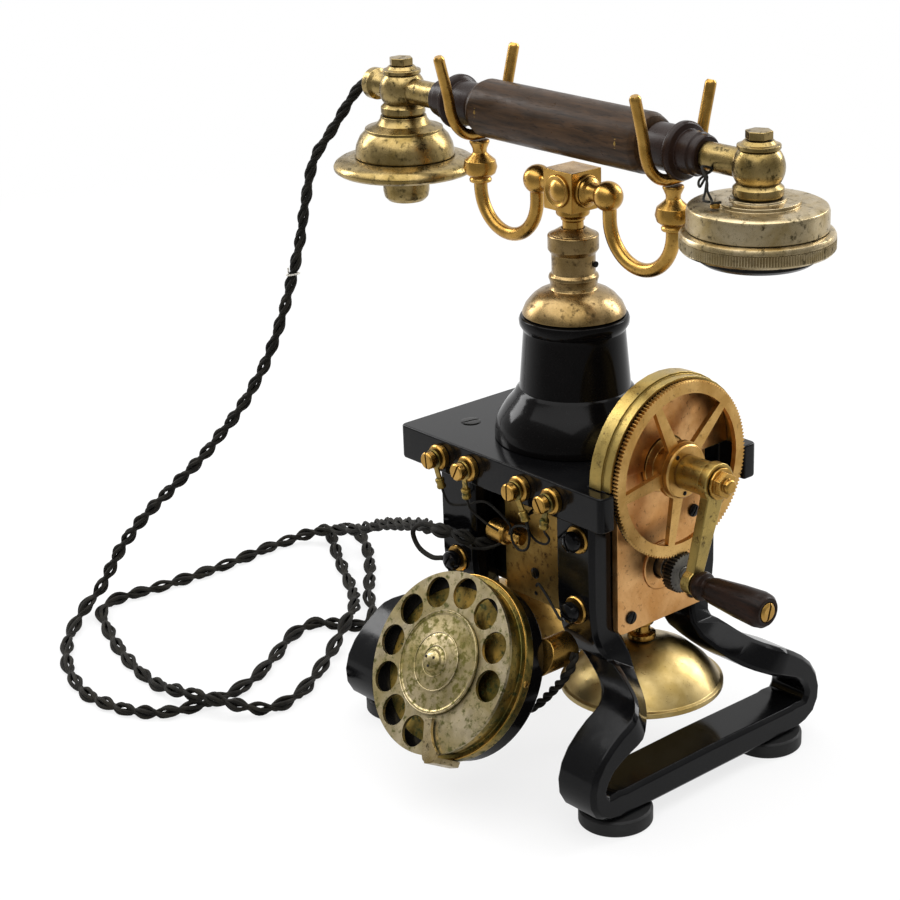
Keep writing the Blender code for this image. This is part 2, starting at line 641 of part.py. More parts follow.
def side_plates(parent):
    """Two copper-coloured plates; the right one rises through the notch to carry the crank's axle."""
    corner = 3.0
    middle = (SIDE_PLATE_HALF_Y - corner, SIDE_PLATE_BOTTOM + corner)
    foot = arc(corner, -math.pi / 2, 0, 4, middle)
    rear_foot = [(-y, z) for y, z in reversed(foot)]
    crown = [(SIDE_PLATE_HALF_Y * math.cos(a), CRANK_Z + SIDE_PLATE_CROWN * math.sin(a))
             for a in (math.pi * i / 12 for i in range(13))]
    outline = foot + crown + rear_foot
    axle_bore = arc(AXLE_R + RUN, 0, 2 * math.pi * 15 / 16, 16, (0, CRANK_Z))
    armature_bore = arc(11.0, 0, 2 * math.pi * 15 / 16, 16, (0, PINION_Z))
    middle = SIDE_PLATE_X + SIDE_PLATE_THICK / 2
    slab("magneto_plate_right", outline, SIDE_PLATE_THICK, COPPER_BRASS, (middle, 0, 0), FACE_RIGHT, parent,
         [axle_bore, armature_bore])
    top = PLATE_BOTTOM - GAP
    left = foot + [(SIDE_PLATE_HALF_Y, top), (-SIDE_PLATE_HALF_Y, top)] + rear_foot
    shaft_bore = arc(SHAFT_R + RUN, 0, 2 * math.pi * 15 / 16, 16, (0, PINION_Z))
    slab("magneto_plate_left", left, SIDE_PLATE_THICK, COPPER_BRASS, (-middle, 0, 0), FACE_RIGHT, parent,
         [shaft_bore])


def magneto(parent):
    """The floor plate, the front panel, the horseshoe magnets and the armature between their legs."""
    width = 2 * (SIDE_PLATE_X - GAP)
    depth = 41.0
    thick = 3.2
    floor_top = SIDE_PLATE_BOTTOM + thick
    box("magneto_base", (width, depth, thick), COPPER_BRASS, (0, 0, floor_top - thick / 2), UPRIGHT,
        parent, edge=0.4)
    panel_top = PLATE_BOTTOM - GAP
    box("front_panel", (37.8, 2.0, panel_top - SIDE_PLATE_BOTTOM), COPPER_BRASS,
        (0, -24.4, (panel_top + SIDE_PLATE_BOTTOM) / 2), UPRIGHT, parent, edge=0.3)
    leg_in = 13.6
    leg_out = 21.5
    low = floor_top + GAP
    shoulder = PLATE_BOTTOM - 4.2 - leg_out
    outline = [(leg_out, low)] + arc(leg_out, 0, math.pi, 13, (0, shoulder)) + [(-leg_out, low),
                                                                                (-leg_in, low)]
    outline += arc(leg_in, math.pi, 0, 11, (0, PINION_Z)) + [(leg_in, low)]
    slab("magnet_bank", outline, 70.0, STEEL, (0, 0, 0), FACE_RIGHT, parent)
    spindle = [(0, 65.6), (2.4, 65.6), (SHAFT_R, 65.0), (SHAFT_R, 57.0), (5.0, 56.0), (5.0, 38.0), (12.6, 36.0),
               (12.6, -36.0), (SHAFT_R, -38.0), (SHAFT_R, -51.4), (0, -51.4)]
    turned("armature", spindle, STEEL, (0, 0, PINION_Z), FACE_RIGHT, parent, 16)


def toothed_outline(teeth, pitch_r, first):
    """A gear's outline: narrow-tipped teeth with straight flanks; first is the angle of a tooth's middle."""
    tip_r = pitch_r + TOOTH_RISE
    root_r = pitch_r - TOOTH_DEPTH
    half_tip = 0.06 / tip_r
    outline = []
    for i in range(teeth):
        middle = first + 2 * math.pi * i / teeth
        for radius, angle in ((tip_r, middle - half_tip), (tip_r, middle + half_tip),
                              (root_r, middle + math.pi / teeth)):
            outline.append((radius * math.cos(angle), radius * math.sin(angle)))
    return outline


def main_gear(parent):
    """Rim, five tapered spokes, flange and hub, with the axle that runs in the side plate."""
    rim_in = GEAR_PITCH_R - 4.95
    hub_r = 12.4
    at_rim = math.asin(1.9 / rim_in)
    at_hub = math.asin(2.9 / hub_r)
    windows = []
    for i in range(5):
        start = math.radians(43 + 72 * i)
        end = start + math.radians(72)
        windows.append(arc(rim_in, start + at_rim, end - at_rim, 9) + arc(hub_r, end - at_hub,
                                                                          start + at_hub, 4))
    wheel = slab("main_gear", toothed_outline(GEAR_TEETH, GEAR_PITCH_R, 0), GEAR_THICK, COPPER_BRASS,
                 (GEAR_BACK_X + GEAR_THICK / 2, 0, 0), FACE_RIGHT, parent, windows)
    wheel = as_mesh(wheel)
    finish(wheel, "main_gear", COPPER_BRASS)
    end = ARM_BACK_X - GAP
    hub = [(0, end), (6.8, end), (7.2, end - 0.5), (7.2, 66.0), (10.9, 66.0), (11.5, 65.4),
           (11.5, GEAR_BACK_X + 0.4), (AXLE_R, GEAR_BACK_X - 0.2), (AXLE_R, SIDE_PLATE_X + 0.1),
           (0, SIDE_PLATE_X + 0.1)]
    return join(wheel, turned("hub", hub, COPPER_BRASS, (0, 0, 0), FACE_RIGHT, parent, 16))


def pinion(parent):
    bore = arc(SHAFT_R + RUN, 0, 2 * math.pi * 15 / 16, 16)
    half_tooth = math.pi / PINION_TEETH
    slab("pinion", toothed_outline(PINION_TEETH, PINION_PITCH_R, half_tooth), 5.0, STEEL,
         (62.5, 0, 0), FACE_RIGHT, parent, [bore])


def axle_bearing(parent):
    inner = SIDE_PLATE_X + SIDE_PLATE_THICK + GAP
    outer = GEAR_BACK_X - 0.2 - GAP
    profile = [(AXLE_R + RUN, outer), (8.0, outer), (8.8, outer - 0.8), (8.8, inner + 3),
               (BEARING_R, inner + 2), (BEARING_R, inner), (AXLE_R + RUN, inner)]
    turned("axle_bearing", profile, COPPER_BRASS, (0, 0, CRANK_Z), FACE_RIGHT, parent, 16, ring=True)


def gear_guard(parent):
    """A half drum behind the gear: a band stepped down at the front, and a wall against the side plate."""
    inner_r = GUARD_R - 2.3
    step_r = GUARD_R - 0.9
    front_x = GEAR_BACK_X - GAP
    step_x = 56.4
    wall_x = SIDE_PLATE_X + SIDE_PLATE_THICK + GAP
    wall_front = wall_x + 1.2
    hole_r = BEARING_R + GAP
    profile = [(inner_r, front_x), (step_r, front_x), (step_r, step_x), (GUARD_R, step_x),
               (GUARD_R, GUARD_BACK_X), (inner_r, GUARD_BACK_X), (inner_r, wall_x), (hole_r, wall_x),
               (hole_r, wall_front), (inner_r, wall_front)]
    guard = turned("gear_guard", profile, DULL_BRASS, (0, 0, CRANK_Z), FACE_RIGHT, parent, 40, ring=True)
    below = box("below_plate", (30, 100, 60), DULL_BRASS, (GEAR_BACK_X - 6, 0, PLATE_TOP + GAP - 30),
                UPRIGHT, parent)
    cut(guard, below)


# ---------------------------------------------------------------- crank

def arm_outline(boss_r, boss_half, eye_r, eye_half, length, lean):
    """A round boss and a round eye with a tapering bar between; it points down, leaning towards -Y."""
    boss = math.asin(boss_half / boss_r)
    eye = math.pi - math.asin(eye_half / eye_r)
    points = arc(boss_r, boss, 2 * math.pi - boss, 17)
    points += arc(eye_r, -eye, eye, 13, (length, 0))
    turn = -math.pi / 2 - lean
    c = math.cos(turn)
    s = math.sin(turn)
    return [(x * c - y * s, x * s + y * c) for x, y in points]


def crank(parent):
    """The arm and its nut on the gear's axle."""
    slab("crank_arm", arm_outline(8.4, 4.6, 5.2, 3.1, CRANK_THROW, CRANK_TILT), ARM_THICK, GOLD_BRASS,
         (ARM_BACK_X + ARM_THICK / 2, 0, 0), FACE_RIGHT, parent)
    start = ARM_FRONT_X + GAP
    nut = rod("crank_nut", 5.6, 3.6, GOLD_BRASS, (start + 2.4, 0, 0), FACE_RIGHT, parent, 6)
    end = [(0, 6.6), (2.4, 6.6), (3.1, 5.9), (3.1, 1.2), (6.9, 1.2), (6.9, 0), (0, 0)]
    join(nut, turned("bolt_end", end, GOLD_BRASS, (start, 0, 0), FACE_RIGHT, parent, 12))


def crank_handle(pivot):
    """The wooden handle, bored for its pin; the pin's slotted head sits in a recess at the end."""
    head_r = 4.0
    pin_r = 2.2
    length = HANDLE_LENGTH
    outside = [(head_r + RUN, length), (5.8, length), (7.0, length - 1.6), (7.5, length - 4.6),
               (6.9, length - 15), (5.6, 10.0), (5.2, 8.2), (4.3, 7.2), (4.3, 5.6), (5.9, 4.6), (6.2, 3.0),
               (5.6, 1.2), (4.6, 0.0)]
    inside = [(pin_r + RUN, 0.0), (pin_r + RUN, length - 3.0), (head_r + RUN, length - 3.0)]
    start = ARM_FRONT_X + GAP
    turned("crank_handle", outside + inside, WOOD, (start, 0, 0), FACE_RIGHT, pivot, 16, ring=True)
    pin = [(0, length + 0.8), (3.0, length + 0.8), (head_r, length), (head_r, length - 2.6),
           (pin_r, length - 2.6), (pin_r, 0), (0, 0)]
    turned("handle_pin", pin, GOLD_BRASS, (start, 0, 0), FACE_RIGHT, pivot, 12)


# ---------------------------------------------------------------- dial

def dial(parent):
    """Base, case, finger wheel with its centre, and the stop; heights are from the wheel's face."""
    front = -CASE_BACK - GAP
    base = [(0, front), (BASE_R - 0.6, front), (BASE_R, front - 0.6), (BASE_R, 0.8 - BASE_BACK),
            (BASE_R - 0.8, -BASE_BACK), (0, -BASE_BACK)]
    turned("dial_base", base, EBONIZED, (0, 0, 0), UPRIGHT, parent, 24)
    drum_r = CASE_R - 2.6
    case = [(0, -5.0), (drum_r - 1.4, -5.0), (drum_r, -6.0), (drum_r, -9.4), (CASE_R - 0.7, -9.6),
            (CASE_R, -10.3), (CASE_R, -CASE_BACK), (0, -CASE_BACK)]
    turned("dial_case", case, DULL_BRASS, (0, 0, 0), UPRIGHT, parent, 24)
    thick = 1.6
    holes = []
    for i in range(FINGER_HOLES):
        angle = math.radians(30 * i)
        middle = (FINGER_CIRCLE_R * math.cos(angle), FINGER_CIRCLE_R * math.sin(angle))
        holes.append(arc(FINGER_HOLE_R, 0, 2 * math.pi * 11 / 12, 12, middle))
    rim = arc(WHEEL_R, 0, 2 * math.pi * 39 / 40, 40)
    wheel = as_mesh(slab("finger_wheel", rim, thick, DULL_BRASS, (0, 0, -thick / 2), UPRIGHT, parent,
                         holes))
    finish(wheel, "finger_wheel", DULL_BRASS)
    join(wheel, rod("spindle", 9.0, 3.4, DULL_BRASS, (0, 0, -3.0), UPRIGHT, parent, 16))
    centre = [(0, 6.2), (2.6, 6.2), (4.4, 5.2), (4.9, 3.9), (6.2, 3.1), (11.2, 2.5), (12.1, 2.2),
              (13.0, 1.6), (20.4, 1.0), (21.0, 1.4), (22.3, 1.1), (22.3, GAP), (0, GAP)]
    turned("dial_centre", centre, DULL_BRASS, (0, 0, 0), UPRIGHT, parent, 20)
    finger_stop(parent)


def finger_stop(parent):
    """A horn that curves in over the finger holes, on a foot bent round the edge of the case."""
    over = 0.8
    top = STOP_FRONT - 0.2
    turn = (0, 0, STOP_ANGLE)
    inner_edge = arc(15.2, math.radians(-105), math.radians(-38), 9, (27.8, 15.2))
    outline = inner_edge + [(STOP_REACH - 0.8, 6.4), (STOP_REACH - 0.4, 0), (STOP_REACH - 1.0, -6.6),
                            (32.9, -4.5), (24.1, -3.8)]
    horn = as_mesh(slab("finger_stop", outline, STOP_FRONT - over, DULL_BRASS,
                        (0, 0, (STOP_FRONT + over) / 2), turn, parent))
    finish(horn, "finger_stop", DULL_BRASS)
    band = arc(STOP_IN, -STOP_SPREAD, STOP_SPREAD, 7) + arc(STOP_REACH, STOP_SPREAD, -STOP_SPREAD, 7)
    low = 0.6 - CASE_BACK
    join(horn, as_mesh(slab("foot", band, top - low, DULL_BRASS, (0, 0, (top + low) / 2), turn, parent)))


def dial_pillar(name, side, parent):
    """A brass pillar from the leg's front face to the slanting back of the dial."""
    rear_y = -35.8
    bpy.ops.mesh.primitive_cylinder_add(radius=PILLAR_R * MM, depth=MM, vertices=16)
    obj = into(bpy.context.object, PARTS)
    normal = (-math.sin(DIAL_TILT), math.cos(DIAL_TILT))
    back = (DIAL_Y - normal[0] * (BASE_BACK + GAP), DIAL_Z - normal[1] * (BASE_BACK + GAP))
    slope = -normal[1] / normal[0]
    for vertex in obj.data.vertices:
        height = PILLAR_Z + vertex.co[1] / MM
        face_y = back[0] + (height - back[1]) * slope
        y = face_y if vertex.co[2] > 0 else rear_y
        vertex.co[2] = -y * MM
    finish(obj, name, GOLD_BRASS)
    return place(obj, (side * PILLAR_X, 0, PILLAR_Z), FACE_FRONT, parent)


def contact_barrel(parent):
    """A small brass contact that lies in front of the panel on its own stud."""
    profile = [(0, 19.0), (2.4, 19.0), (3.0, 18.2), (3.0, 11.0), (4.4, 10.6), (5.0, 9.8), (5.0, 0.8),
               (4.2, 0), (0, 0)]
    barrel = turned("contact_barrel", profile, GOLD_BRASS, (-20.0, -31.4, 100.0), FACE_RIGHT, parent, 12)
    join(barrel, rod("stud", 2.0, 5.7, GOLD_BRASS, (-14.0, -28.55, 100.0), FACE_FRONT, parent, 10))


# ---------------------------------------------------------------- bells and terminals

def gong(name, side, parent):
    """A bell of thin brass, open below, on a stepped post under the magneto's floor."""
    wall = 1.4
    rise = GONG_TOP_Z - GONG_RIM_Z
    curve_r = (GONG_R ** 2 + rise ** 2) / (2 * rise)
    outer = []
    for i in range(6):
        radius = 4 + (GONG_R - 4) * math.sin(math.pi / 2 * i / 5)
        outer.append((radius, GONG_TOP_Z - curve_r + math.sqrt(curve_r ** 2 - radius ** 2)))
    outer[-1] = (GONG_R, GONG_RIM_Z + 2.2)
    inner = [(radius - wall * radius / GONG_R, height - wall) for radius, height in reversed(outer)]
    profile = outer + [(GONG_R, GONG_RIM_Z), (GONG_R - wall, GONG_RIM_Z)] + inner
    turned(name, profile, DULL_BRASS, (side * GONG_X, 0, 0), UPRIGHT, parent, 24, ring=True)


def gong_post(name, side, parent):
    top = SIDE_PLATE_BOTTOM - GAP
    seat = GONG_TOP_Z + GAP
    end = seat - 7.6
    profile = [(0, top), (6.6, top), (6.6, top - 2.6), (5.3, top - 3.2), (5.3, top - 5.4), (3.8, top - 6.2),
               (3.8, seat + 2.8), (6.2, seat + 2.2), (6.2, seat), (3.6, seat), (3.6, seat - 3.2),
               (5.6, seat - 3.6), (5.6, end + 0.8), (4.6, end), (0, end)]
    turned(name, profile, GOLD_BRASS, (side * GONG_X, 0, 0), UPRIGHT, parent, 12)


def clapper(pivot):
    """A rod with a ball at its foot, swinging between the two gongs."""
    hub = rod("clapper", CLAPPER_HUB_R, 8.0, STEEL, (0, 0, 0), FACE_FRONT, pivot, 12)
    join(hub, rod("clapper_rod", 1.1, 26.0, STEEL, (0, 0, -14.0), UPRIGHT, pivot, 8))
    bpy.ops.mesh.primitive_uv_sphere_add(radius=2.8 * MM, segments=10, ring_count=6)
    join(hub, place(into(bpy.context.object, PARTS), (0, 0, -27.5), UPRIGHT, pivot))


def terminals(parent):
    middle = (PLATE_TOP + PLATE_BOTTOM) / 2
    for number, x in enumerate((-35.3, -16.2, 16.2, 35.3), 1):
        profile = [(0, 8.4), (3.2, 8.4), (3.8, 7.8), (3.8, 5.4), (2.6, 5.0), (2.6, 3.2), (5.0, 2.8),
                   (5.6, 2.2), (5.6, 0), (0, 0)]
        turned(f"terminal_{number}", profile, GOLD_BRASS, (x, -PLATE_HALF_Y - GAP, middle), FACE_FRONT,
               parent, 12)


# ---------------------------------------------------------------- cord

CORD_ROUTE = [
    # out of the handset and down to the table
    (HANDSET_SHIFT - BALL_X - 20.7 - GAP, 0, HANDSET_Z), (-135.4, 0, HANDSET_Z), (-141, -3, 268),
    (-149, -9, 253), (-157, -15, 238),
    (-161.5, -17.6, 220), (-165, -20, 199), (-172, -24.5, 170), (-180, -30, 144), (-192, -38, 118),
    (-213, -52, 86), (-237, -68, 56.5), (-252, -77.5, 35), (-260, -83, 18), (-261, -90, 9.0),
    # the outer loop on the table
    (-256, -99, 7.2), (-250, -109, 3.2), (-233, -124.5, 2.6), (-208, -138.5, 2.6), (-180, -146, 2.6),
    (-155, -142, 2.6),
    (-139, -131, 2.6), (-134, -117, 2.6), (-132.5, -100, 2.6), (-137.5, -82, 2.6), (-152, -57.5, 2.6),
    (-164, -38, 2.6),
    (-165.5, -24, 2.6), (-157, -17, 2.6), (-149, -12.5, 2.6), (-148.5, -3, 2.6), (-157, 5.5, 2.6),
    (-172, 14.5, 2.6),
    # the narrow bight at the back and the way forward again
    (-192, 31.4, 2.6), (-215, 48.5, 2.6), (-236, 60, 2.6), (-250, 62, 2.6), (-252, 53, 2.6),
    (-240, 44.5, 2.6),
    (-226, 36, 2.6), (-207, 25.5, 2.6), (-185.5, 14, 2.9), (-168, 2.5, 6.4), (-156.5, -7, 8.2),
    (-147, -19, 8.2), (-137, -33, 5.0),
    (-119, -60, 2.6), (-109, -79, 2.6), (-107.5, -94, 3.0), (-114.5, -105, 5.6), (-125, -112.5, 8.0),
    (-137, -117.5, 8.2),
    (-151, -119, 6.0), (-167, -117.5, 2.8), (-186, -115.2, 2.6), (-212, -108.6, 2.6), (-238, -99.5, 2.6),
    (-254, -91.5, 2.6),
    # back along the table, over the bight and up to the front of the left leg
    (-260.5, -80, 2.6), (-258.5, -62, 2.6), (-256.5, -35, 2.6), (-257, -8, 2.6), (-259, 14, 2.6),
    (-258.5, 29, 3.2),
    (-254, 38, 5.2), (-243, 43, 9.6), (-221, 39.8, 17), (-194.5, 32.3, 28.5), (-160.4, 18.4, 45),
    (-117.7, -2.7, 64),
    (-75.3, -25.3, 83), (-57, -38, 91.5), (-44, -43, 95.5), (-34, -42.8, 97), (-27.5, -41, 96),
    (-22, -36.8, 94),
    (-18.5, -32.4, 92.4),
]
CORD_TURN = math.radians(22)
CORD_RUN = 25.0


def cord_points():
    """The route made smooth, with a point wherever the cord has turned or run far enough."""
    fine = smooth_path(CORD_ROUTE, 2.0)
    kept = [fine[0]]
    run = 0.0
    turn = 0.0
    for before, here, after in zip(fine, fine[1:], fine[2:]):
        run += (here - before).length
        turn += (here - before).angle(after - here)
        if run > CORD_RUN or (turn > CORD_TURN and run > 2 * CORD_R):
            kept.append(here)
            run = 0.0
            turn = 0.0
    kept.append(fine[-1])
    return kept


# ---------------------------------------------------------------- the telephone

def telephone():
    home = empty("telephone", (-MIDDLE[0], -MIDDLE[1], 0))
    lyre("frame_left", -1, home)
    lyre("frame_right", 1, home)
    feet(home)
    top_plate(home)
    column(home)
    column_cap(home)
    cradle = empty("cradle", (0, 0, CRADLE_Z), UPRIGHT, home)
    cradle_block(cradle)
    for hand, side in (("left", -1), ("right", 1)):
        cradle_arm(f"cradle_arm_{hand}", side, cradle)
        cradle_fork(f"cradle_fork_{hand}", side, cradle)
        gong(f"gong_{hand}", side, home)
        gong_post(f"gong_post_{hand}", side, home)
        dial_pillar(f"dial_pillar_{hand}", side, home)
    handset(empty("handset", (HANDSET_SHIFT, 0, HANDSET_Z), UPRIGHT, home))
    side_plates(home)
    magneto(home)
    axle_bearing(home)
    gear_guard(home)
    axle = empty("crank_axle", (0, 0, CRANK_Z), UPRIGHT, home)
    main_gear(axle)
    crank(axle)
    pin = (0, -CRANK_THROW * math.sin(CRANK_TILT), -CRANK_THROW * math.cos(CRANK_TILT))
    crank_handle(empty("handle_axis", pin, UPRIGHT, axle))
    pinion(empty("pinion_axle", (0, 0, PINION_Z), UPRIGHT, home))
    dial(empty("dial_face", (0, DIAL_Y, DIAL_Z), (DIAL_TILT, 0, 0), home))
    contact_barrel(home)
    clapper(empty("clapper_pivot", (0, 0, SIDE_PLATE_BOTTOM - GAP - CLAPPER_HUB_R), UPRIGHT, home))
    terminals(home)
    tube("cord", cord_points(), CORD_R, CLOTH, (0, 0, 0), UPRIGHT, home)


telephone()
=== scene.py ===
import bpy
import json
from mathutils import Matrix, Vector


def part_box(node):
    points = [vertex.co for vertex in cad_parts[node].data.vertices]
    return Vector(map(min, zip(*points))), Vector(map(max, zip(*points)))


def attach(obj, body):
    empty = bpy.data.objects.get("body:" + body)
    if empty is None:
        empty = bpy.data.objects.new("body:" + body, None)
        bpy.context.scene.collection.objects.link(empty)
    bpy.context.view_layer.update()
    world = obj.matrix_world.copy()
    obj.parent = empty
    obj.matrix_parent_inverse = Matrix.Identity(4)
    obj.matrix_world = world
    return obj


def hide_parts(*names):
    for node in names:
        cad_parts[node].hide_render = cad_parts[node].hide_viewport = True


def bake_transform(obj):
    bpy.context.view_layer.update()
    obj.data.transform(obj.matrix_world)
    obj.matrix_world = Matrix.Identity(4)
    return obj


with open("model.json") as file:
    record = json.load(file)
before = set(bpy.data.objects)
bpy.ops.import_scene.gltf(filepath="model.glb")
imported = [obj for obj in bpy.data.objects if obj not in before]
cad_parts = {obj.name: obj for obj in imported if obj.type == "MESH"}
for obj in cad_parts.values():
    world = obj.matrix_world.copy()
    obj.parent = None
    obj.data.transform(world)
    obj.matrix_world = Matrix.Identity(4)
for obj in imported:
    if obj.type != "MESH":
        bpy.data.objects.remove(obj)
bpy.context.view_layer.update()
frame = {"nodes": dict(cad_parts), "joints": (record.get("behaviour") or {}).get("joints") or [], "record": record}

import json
from math import atan2, cos, hypot, pi, radians, sin, sqrt

import bmesh
import bpy
from mathutils import Matrix, Vector

# The looks of the desk telephone. Sizes are in millimetres from the middle of the telephone's body and
# turned into the row frame's metres by spot(): +Z is up, the dial faces -Y and the crank is on the +X side.
MM = 0.001
TAU = 2 * pi
WELD = 2e-6
X = Vector((1, 0, 0))
Y = Vector((0, 1, 0))
Z = Vector((0, 0, 1))
FRONT = Vector((0, -1, 0))
PIVOT = {joint["name"]: joint.get("pos_m") for joint in frame["joints"]}
MIDDLE = Vector((
    (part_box("frame_left")[0].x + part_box("frame_right")[1].x) / 2,
    PIVOT["crank_turn"][1],
    0,
))


def spot(x, y, z):
    """A point of the telephone in millimetres, as a point of the row frame in metres."""
    return MIDDLE + Vector((x, y, z)) * MM


def polar(first, second, turn):
    """The direction at an angle from first towards second."""
    return first * cos(turn) + second * sin(turn)


def linked(name, data):
    """A new object in the scene."""
    obj = bpy.data.objects.new(name, data)
    bpy.context.scene.collection.objects.link(obj)
    return obj


# ---------- camera

CAMERA_TARGET = (0.545, 0.509, 140.87)
CAMERA_DISTANCE = 937.2
CAMERA_AZIMUTH = radians(46.76)
CAMERA_ELEVATION = radians(20.59)
CAMERA_ROLL = -0.013951
CAMERA_LENS = 87.11
CAMERA_SHIFT = (-0.1419, -0.0190)


def towards_camera():
    """The direction from the telephone to the camera."""
    level = Vector((sin(CAMERA_AZIMUTH), -cos(CAMERA_AZIMUTH), 0))
    return polar(level, Z, CAMERA_ELEVATION)


def camera():
    back = towards_camera()
    right = Z.cross(back).normalized()
    up = back.cross(right)
    data = bpy.data.cameras.new("camera")
    data.lens = CAMERA_LENS
    data.shift_x, data.shift_y = CAMERA_SHIFT
    data.clip_end = 50
    obj = linked("camera", data)
    turn = Matrix((polar(right, up, CAMERA_ROLL), polar(up, -right, CAMERA_ROLL), back)).transposed().to_4x4()
    obj.matrix_world = Matrix.Translation(spot(*CAMERA_TARGET) + back * CAMERA_DISTANCE * MM) @ turn
    bpy.context.scene.camera = obj


# ---------- material nodes

def node(tree, kind, inputs=None, **settings):
    """A shader node with its settings; an input takes a number, a colour or another node's socket."""
    made = tree.nodes.new(kind)
    for key, value in settings.items():
        setattr(made, key, value)
    for key, value in (inputs or {}).items():
        if isinstance(value, bpy.types.NodeSocket):
            tree.links.new(value, made.inputs[key])
        else:
            made.inputs[key].default_value = value
    return made


def rgb(colour):
    return (*colour, 1)


def noise(tree, where, size, detail=4.0, roughness=0.55, distortion=0.0):
    """Noise whose blobs are about size millimetres across."""
    made = node(tree, "ShaderNodeTexNoise", {
        "Vector": where, "Scale": 1 / (size * MM), "Detail": detail, "Roughness": roughness,
        "Distortion": distortion,
    })
    return made.outputs["Fac"]


def span(tree, value, low, high, first=0.0, last=1.0):
    """value from low to high becomes first to last, and no more."""
    return node(tree, "ShaderNodeMapRange", {
        "Value": value, "From Min": low, "From Max": high, "To Min": first, "To Max": last,
    }).outputs["Result"]


def mixed(tree, amount, first, second):
    made = node(tree, "ShaderNodeMix", data_type="RGBA")
    for index, value in ((0, amount), (6, first), (7, second)):
        if isinstance(value, bpy.types.NodeSocket):
            tree.links.new(value, made.inputs[index])
        else:
            made.inputs[index].default_value = value if index == 0 else rgb(value)
    return made.outputs[2]


def maths(tree, operation, first, second):
    return node(tree, "ShaderNodeMath", {0: first, 1: second}, operation=operation, use_clamp=True).outputs[0]


def stretched(tree, where, scale):
    return node(tree, "ShaderNodeMapping", {"Vector": where, "Scale": scale}).outputs["Vector"]


def surface(name):
    """A new material: its node tree, its shader and the piece's own coordinates."""
    made = bpy.data.materials.new(name)
    made.use_nodes = True
    tree = made.node_tree
    shader = tree.nodes["Principled BSDF"]
    where = node(tree, "ShaderNodeTexCoord").outputs["Object"]
    return made, tree, shader, where


def bumps(tree, shader, height, depth, strength=1.0):
    made = node(tree, "ShaderNodeBump", {"Height": height, "Distance": depth * MM, "Strength": strength})
    tree.links.new(made.outputs["Normal"], shader.inputs["Normal"])


def plug(tree, shader, **sockets):
    for name, value in sockets.items():
        tree.links.new(value, shader.inputs[name.replace("_", " ")])


def metal(name, bright, dull, tarnish_and_shade_colour, stained=0.62, rough=(0.22, 0.42), grain=None):
    """Old brass: two tones in wide patches, dark spots of tarnish, and darkening in the corners that is partly
    dirt and partly painted shade.
    """
    made, tree, shader, where = surface(name)
    shader.inputs["Metallic"].default_value = 1.0
    patches = span(tree, noise(tree, where, 16, 5, 0.6, 0.4), 0.36, 0.64)
    colour = mixed(tree, patches, bright, dull)
    blots = span(tree, noise(tree, where, 3.2, 8, 0.68), stained, stained + 0.12)
    specks = span(tree, noise(tree, where, 0.9, 3, 0.6), 0.64, 0.72)
    # Ambient occlusion darkens the colour in corners and between parts: partly dirt, partly painted shade.
    corner = node(tree, "ShaderNodeAmbientOcclusion", {"Distance": 2.5 * MM}, samples=4, only_local=False)
    corner_dirt_and_shade = span(tree, corner.outputs["AO"], 0.35, 0.8, 0.75, 0.0)
    spots = maths(tree, "MAXIMUM", blots, maths(tree, "MULTIPLY", specks, 0.6))
    tarnish_and_shade = maths(tree, "MAXIMUM", spots, corner_dirt_and_shade)
    colour = mixed(tree, tarnish_and_shade, colour, tarnish_and_shade_colour)
    fine = noise(tree, stretched(tree, where, grain) if grain else where, 0.5, 4, 0.6)
    gloss = span(tree, noise(tree, where, 5, 6, 0.65), 0.3, 0.7, *rough)
    gloss = maths(tree, "ADD", gloss, maths(tree, "MULTIPLY", tarnish_and_shade, 0.22))
    gloss = maths(tree, "ADD", gloss, span(tree, fine, 0.3, 0.7, -0.05, 0.08))
    plug(tree, shader, Base_Color=colour, Roughness=gloss)
    bumps(tree, shader, maths(tree, "SUBTRACT", fine, maths(tree, "MULTIPLY", tarnish_and_shade, 0.5)), 0.02, 0.6)
    return made


def lacquer(name, colour, worn, rough=(0.08, 0.2), dust=0.5, shine=0.17):
    """Glossy black with a faint unevenness, fine dust and wear along its edges."""
    made, tree, shader, where = surface(name)
    shader.inputs["Specular IOR Level"].default_value = shine
    edge = node(tree, "ShaderNodeNewGeometry").outputs["Pointiness"]
    patches = span(tree, noise(tree, where, 4, 6, 0.7), 0.5, 0.68)
    rub = maths(tree, "MULTIPLY", span(tree, edge, 0.56, 0.66), patches)
    powder = maths(tree, "MULTIPLY", span(tree, noise(tree, where, 0.7, 3), 0.64, 0.74), dust)
    haze = span(tree, noise(tree, where, 22, 5, 0.6), 0.35, 0.7)
    tone = mixed(tree, maths(tree, "MULTIPLY", haze, 0.5), colour, tuple(c * 1.8 + 0.001 for c in colour))
    tone = mixed(tree, maths(tree, "MULTIPLY", powder, 0.2), tone, (0.07, 0.067, 0.06))
    plug(tree, shader, Base_Color=mixed(tree, rub, tone, worn))
    gloss = span(tree, noise(tree, where, 9, 6, 0.65), 0.3, 0.7, *rough)
    gloss = maths(tree, "ADD", gloss, maths(tree, "MULTIPLY", maths(tree, "MAXIMUM", rub, powder), 0.3))
    plug(tree, shader, Roughness=gloss)
    bumps(tree, shader, noise(tree, where, 2.2, 4), 0.03, 0.35)
    return made


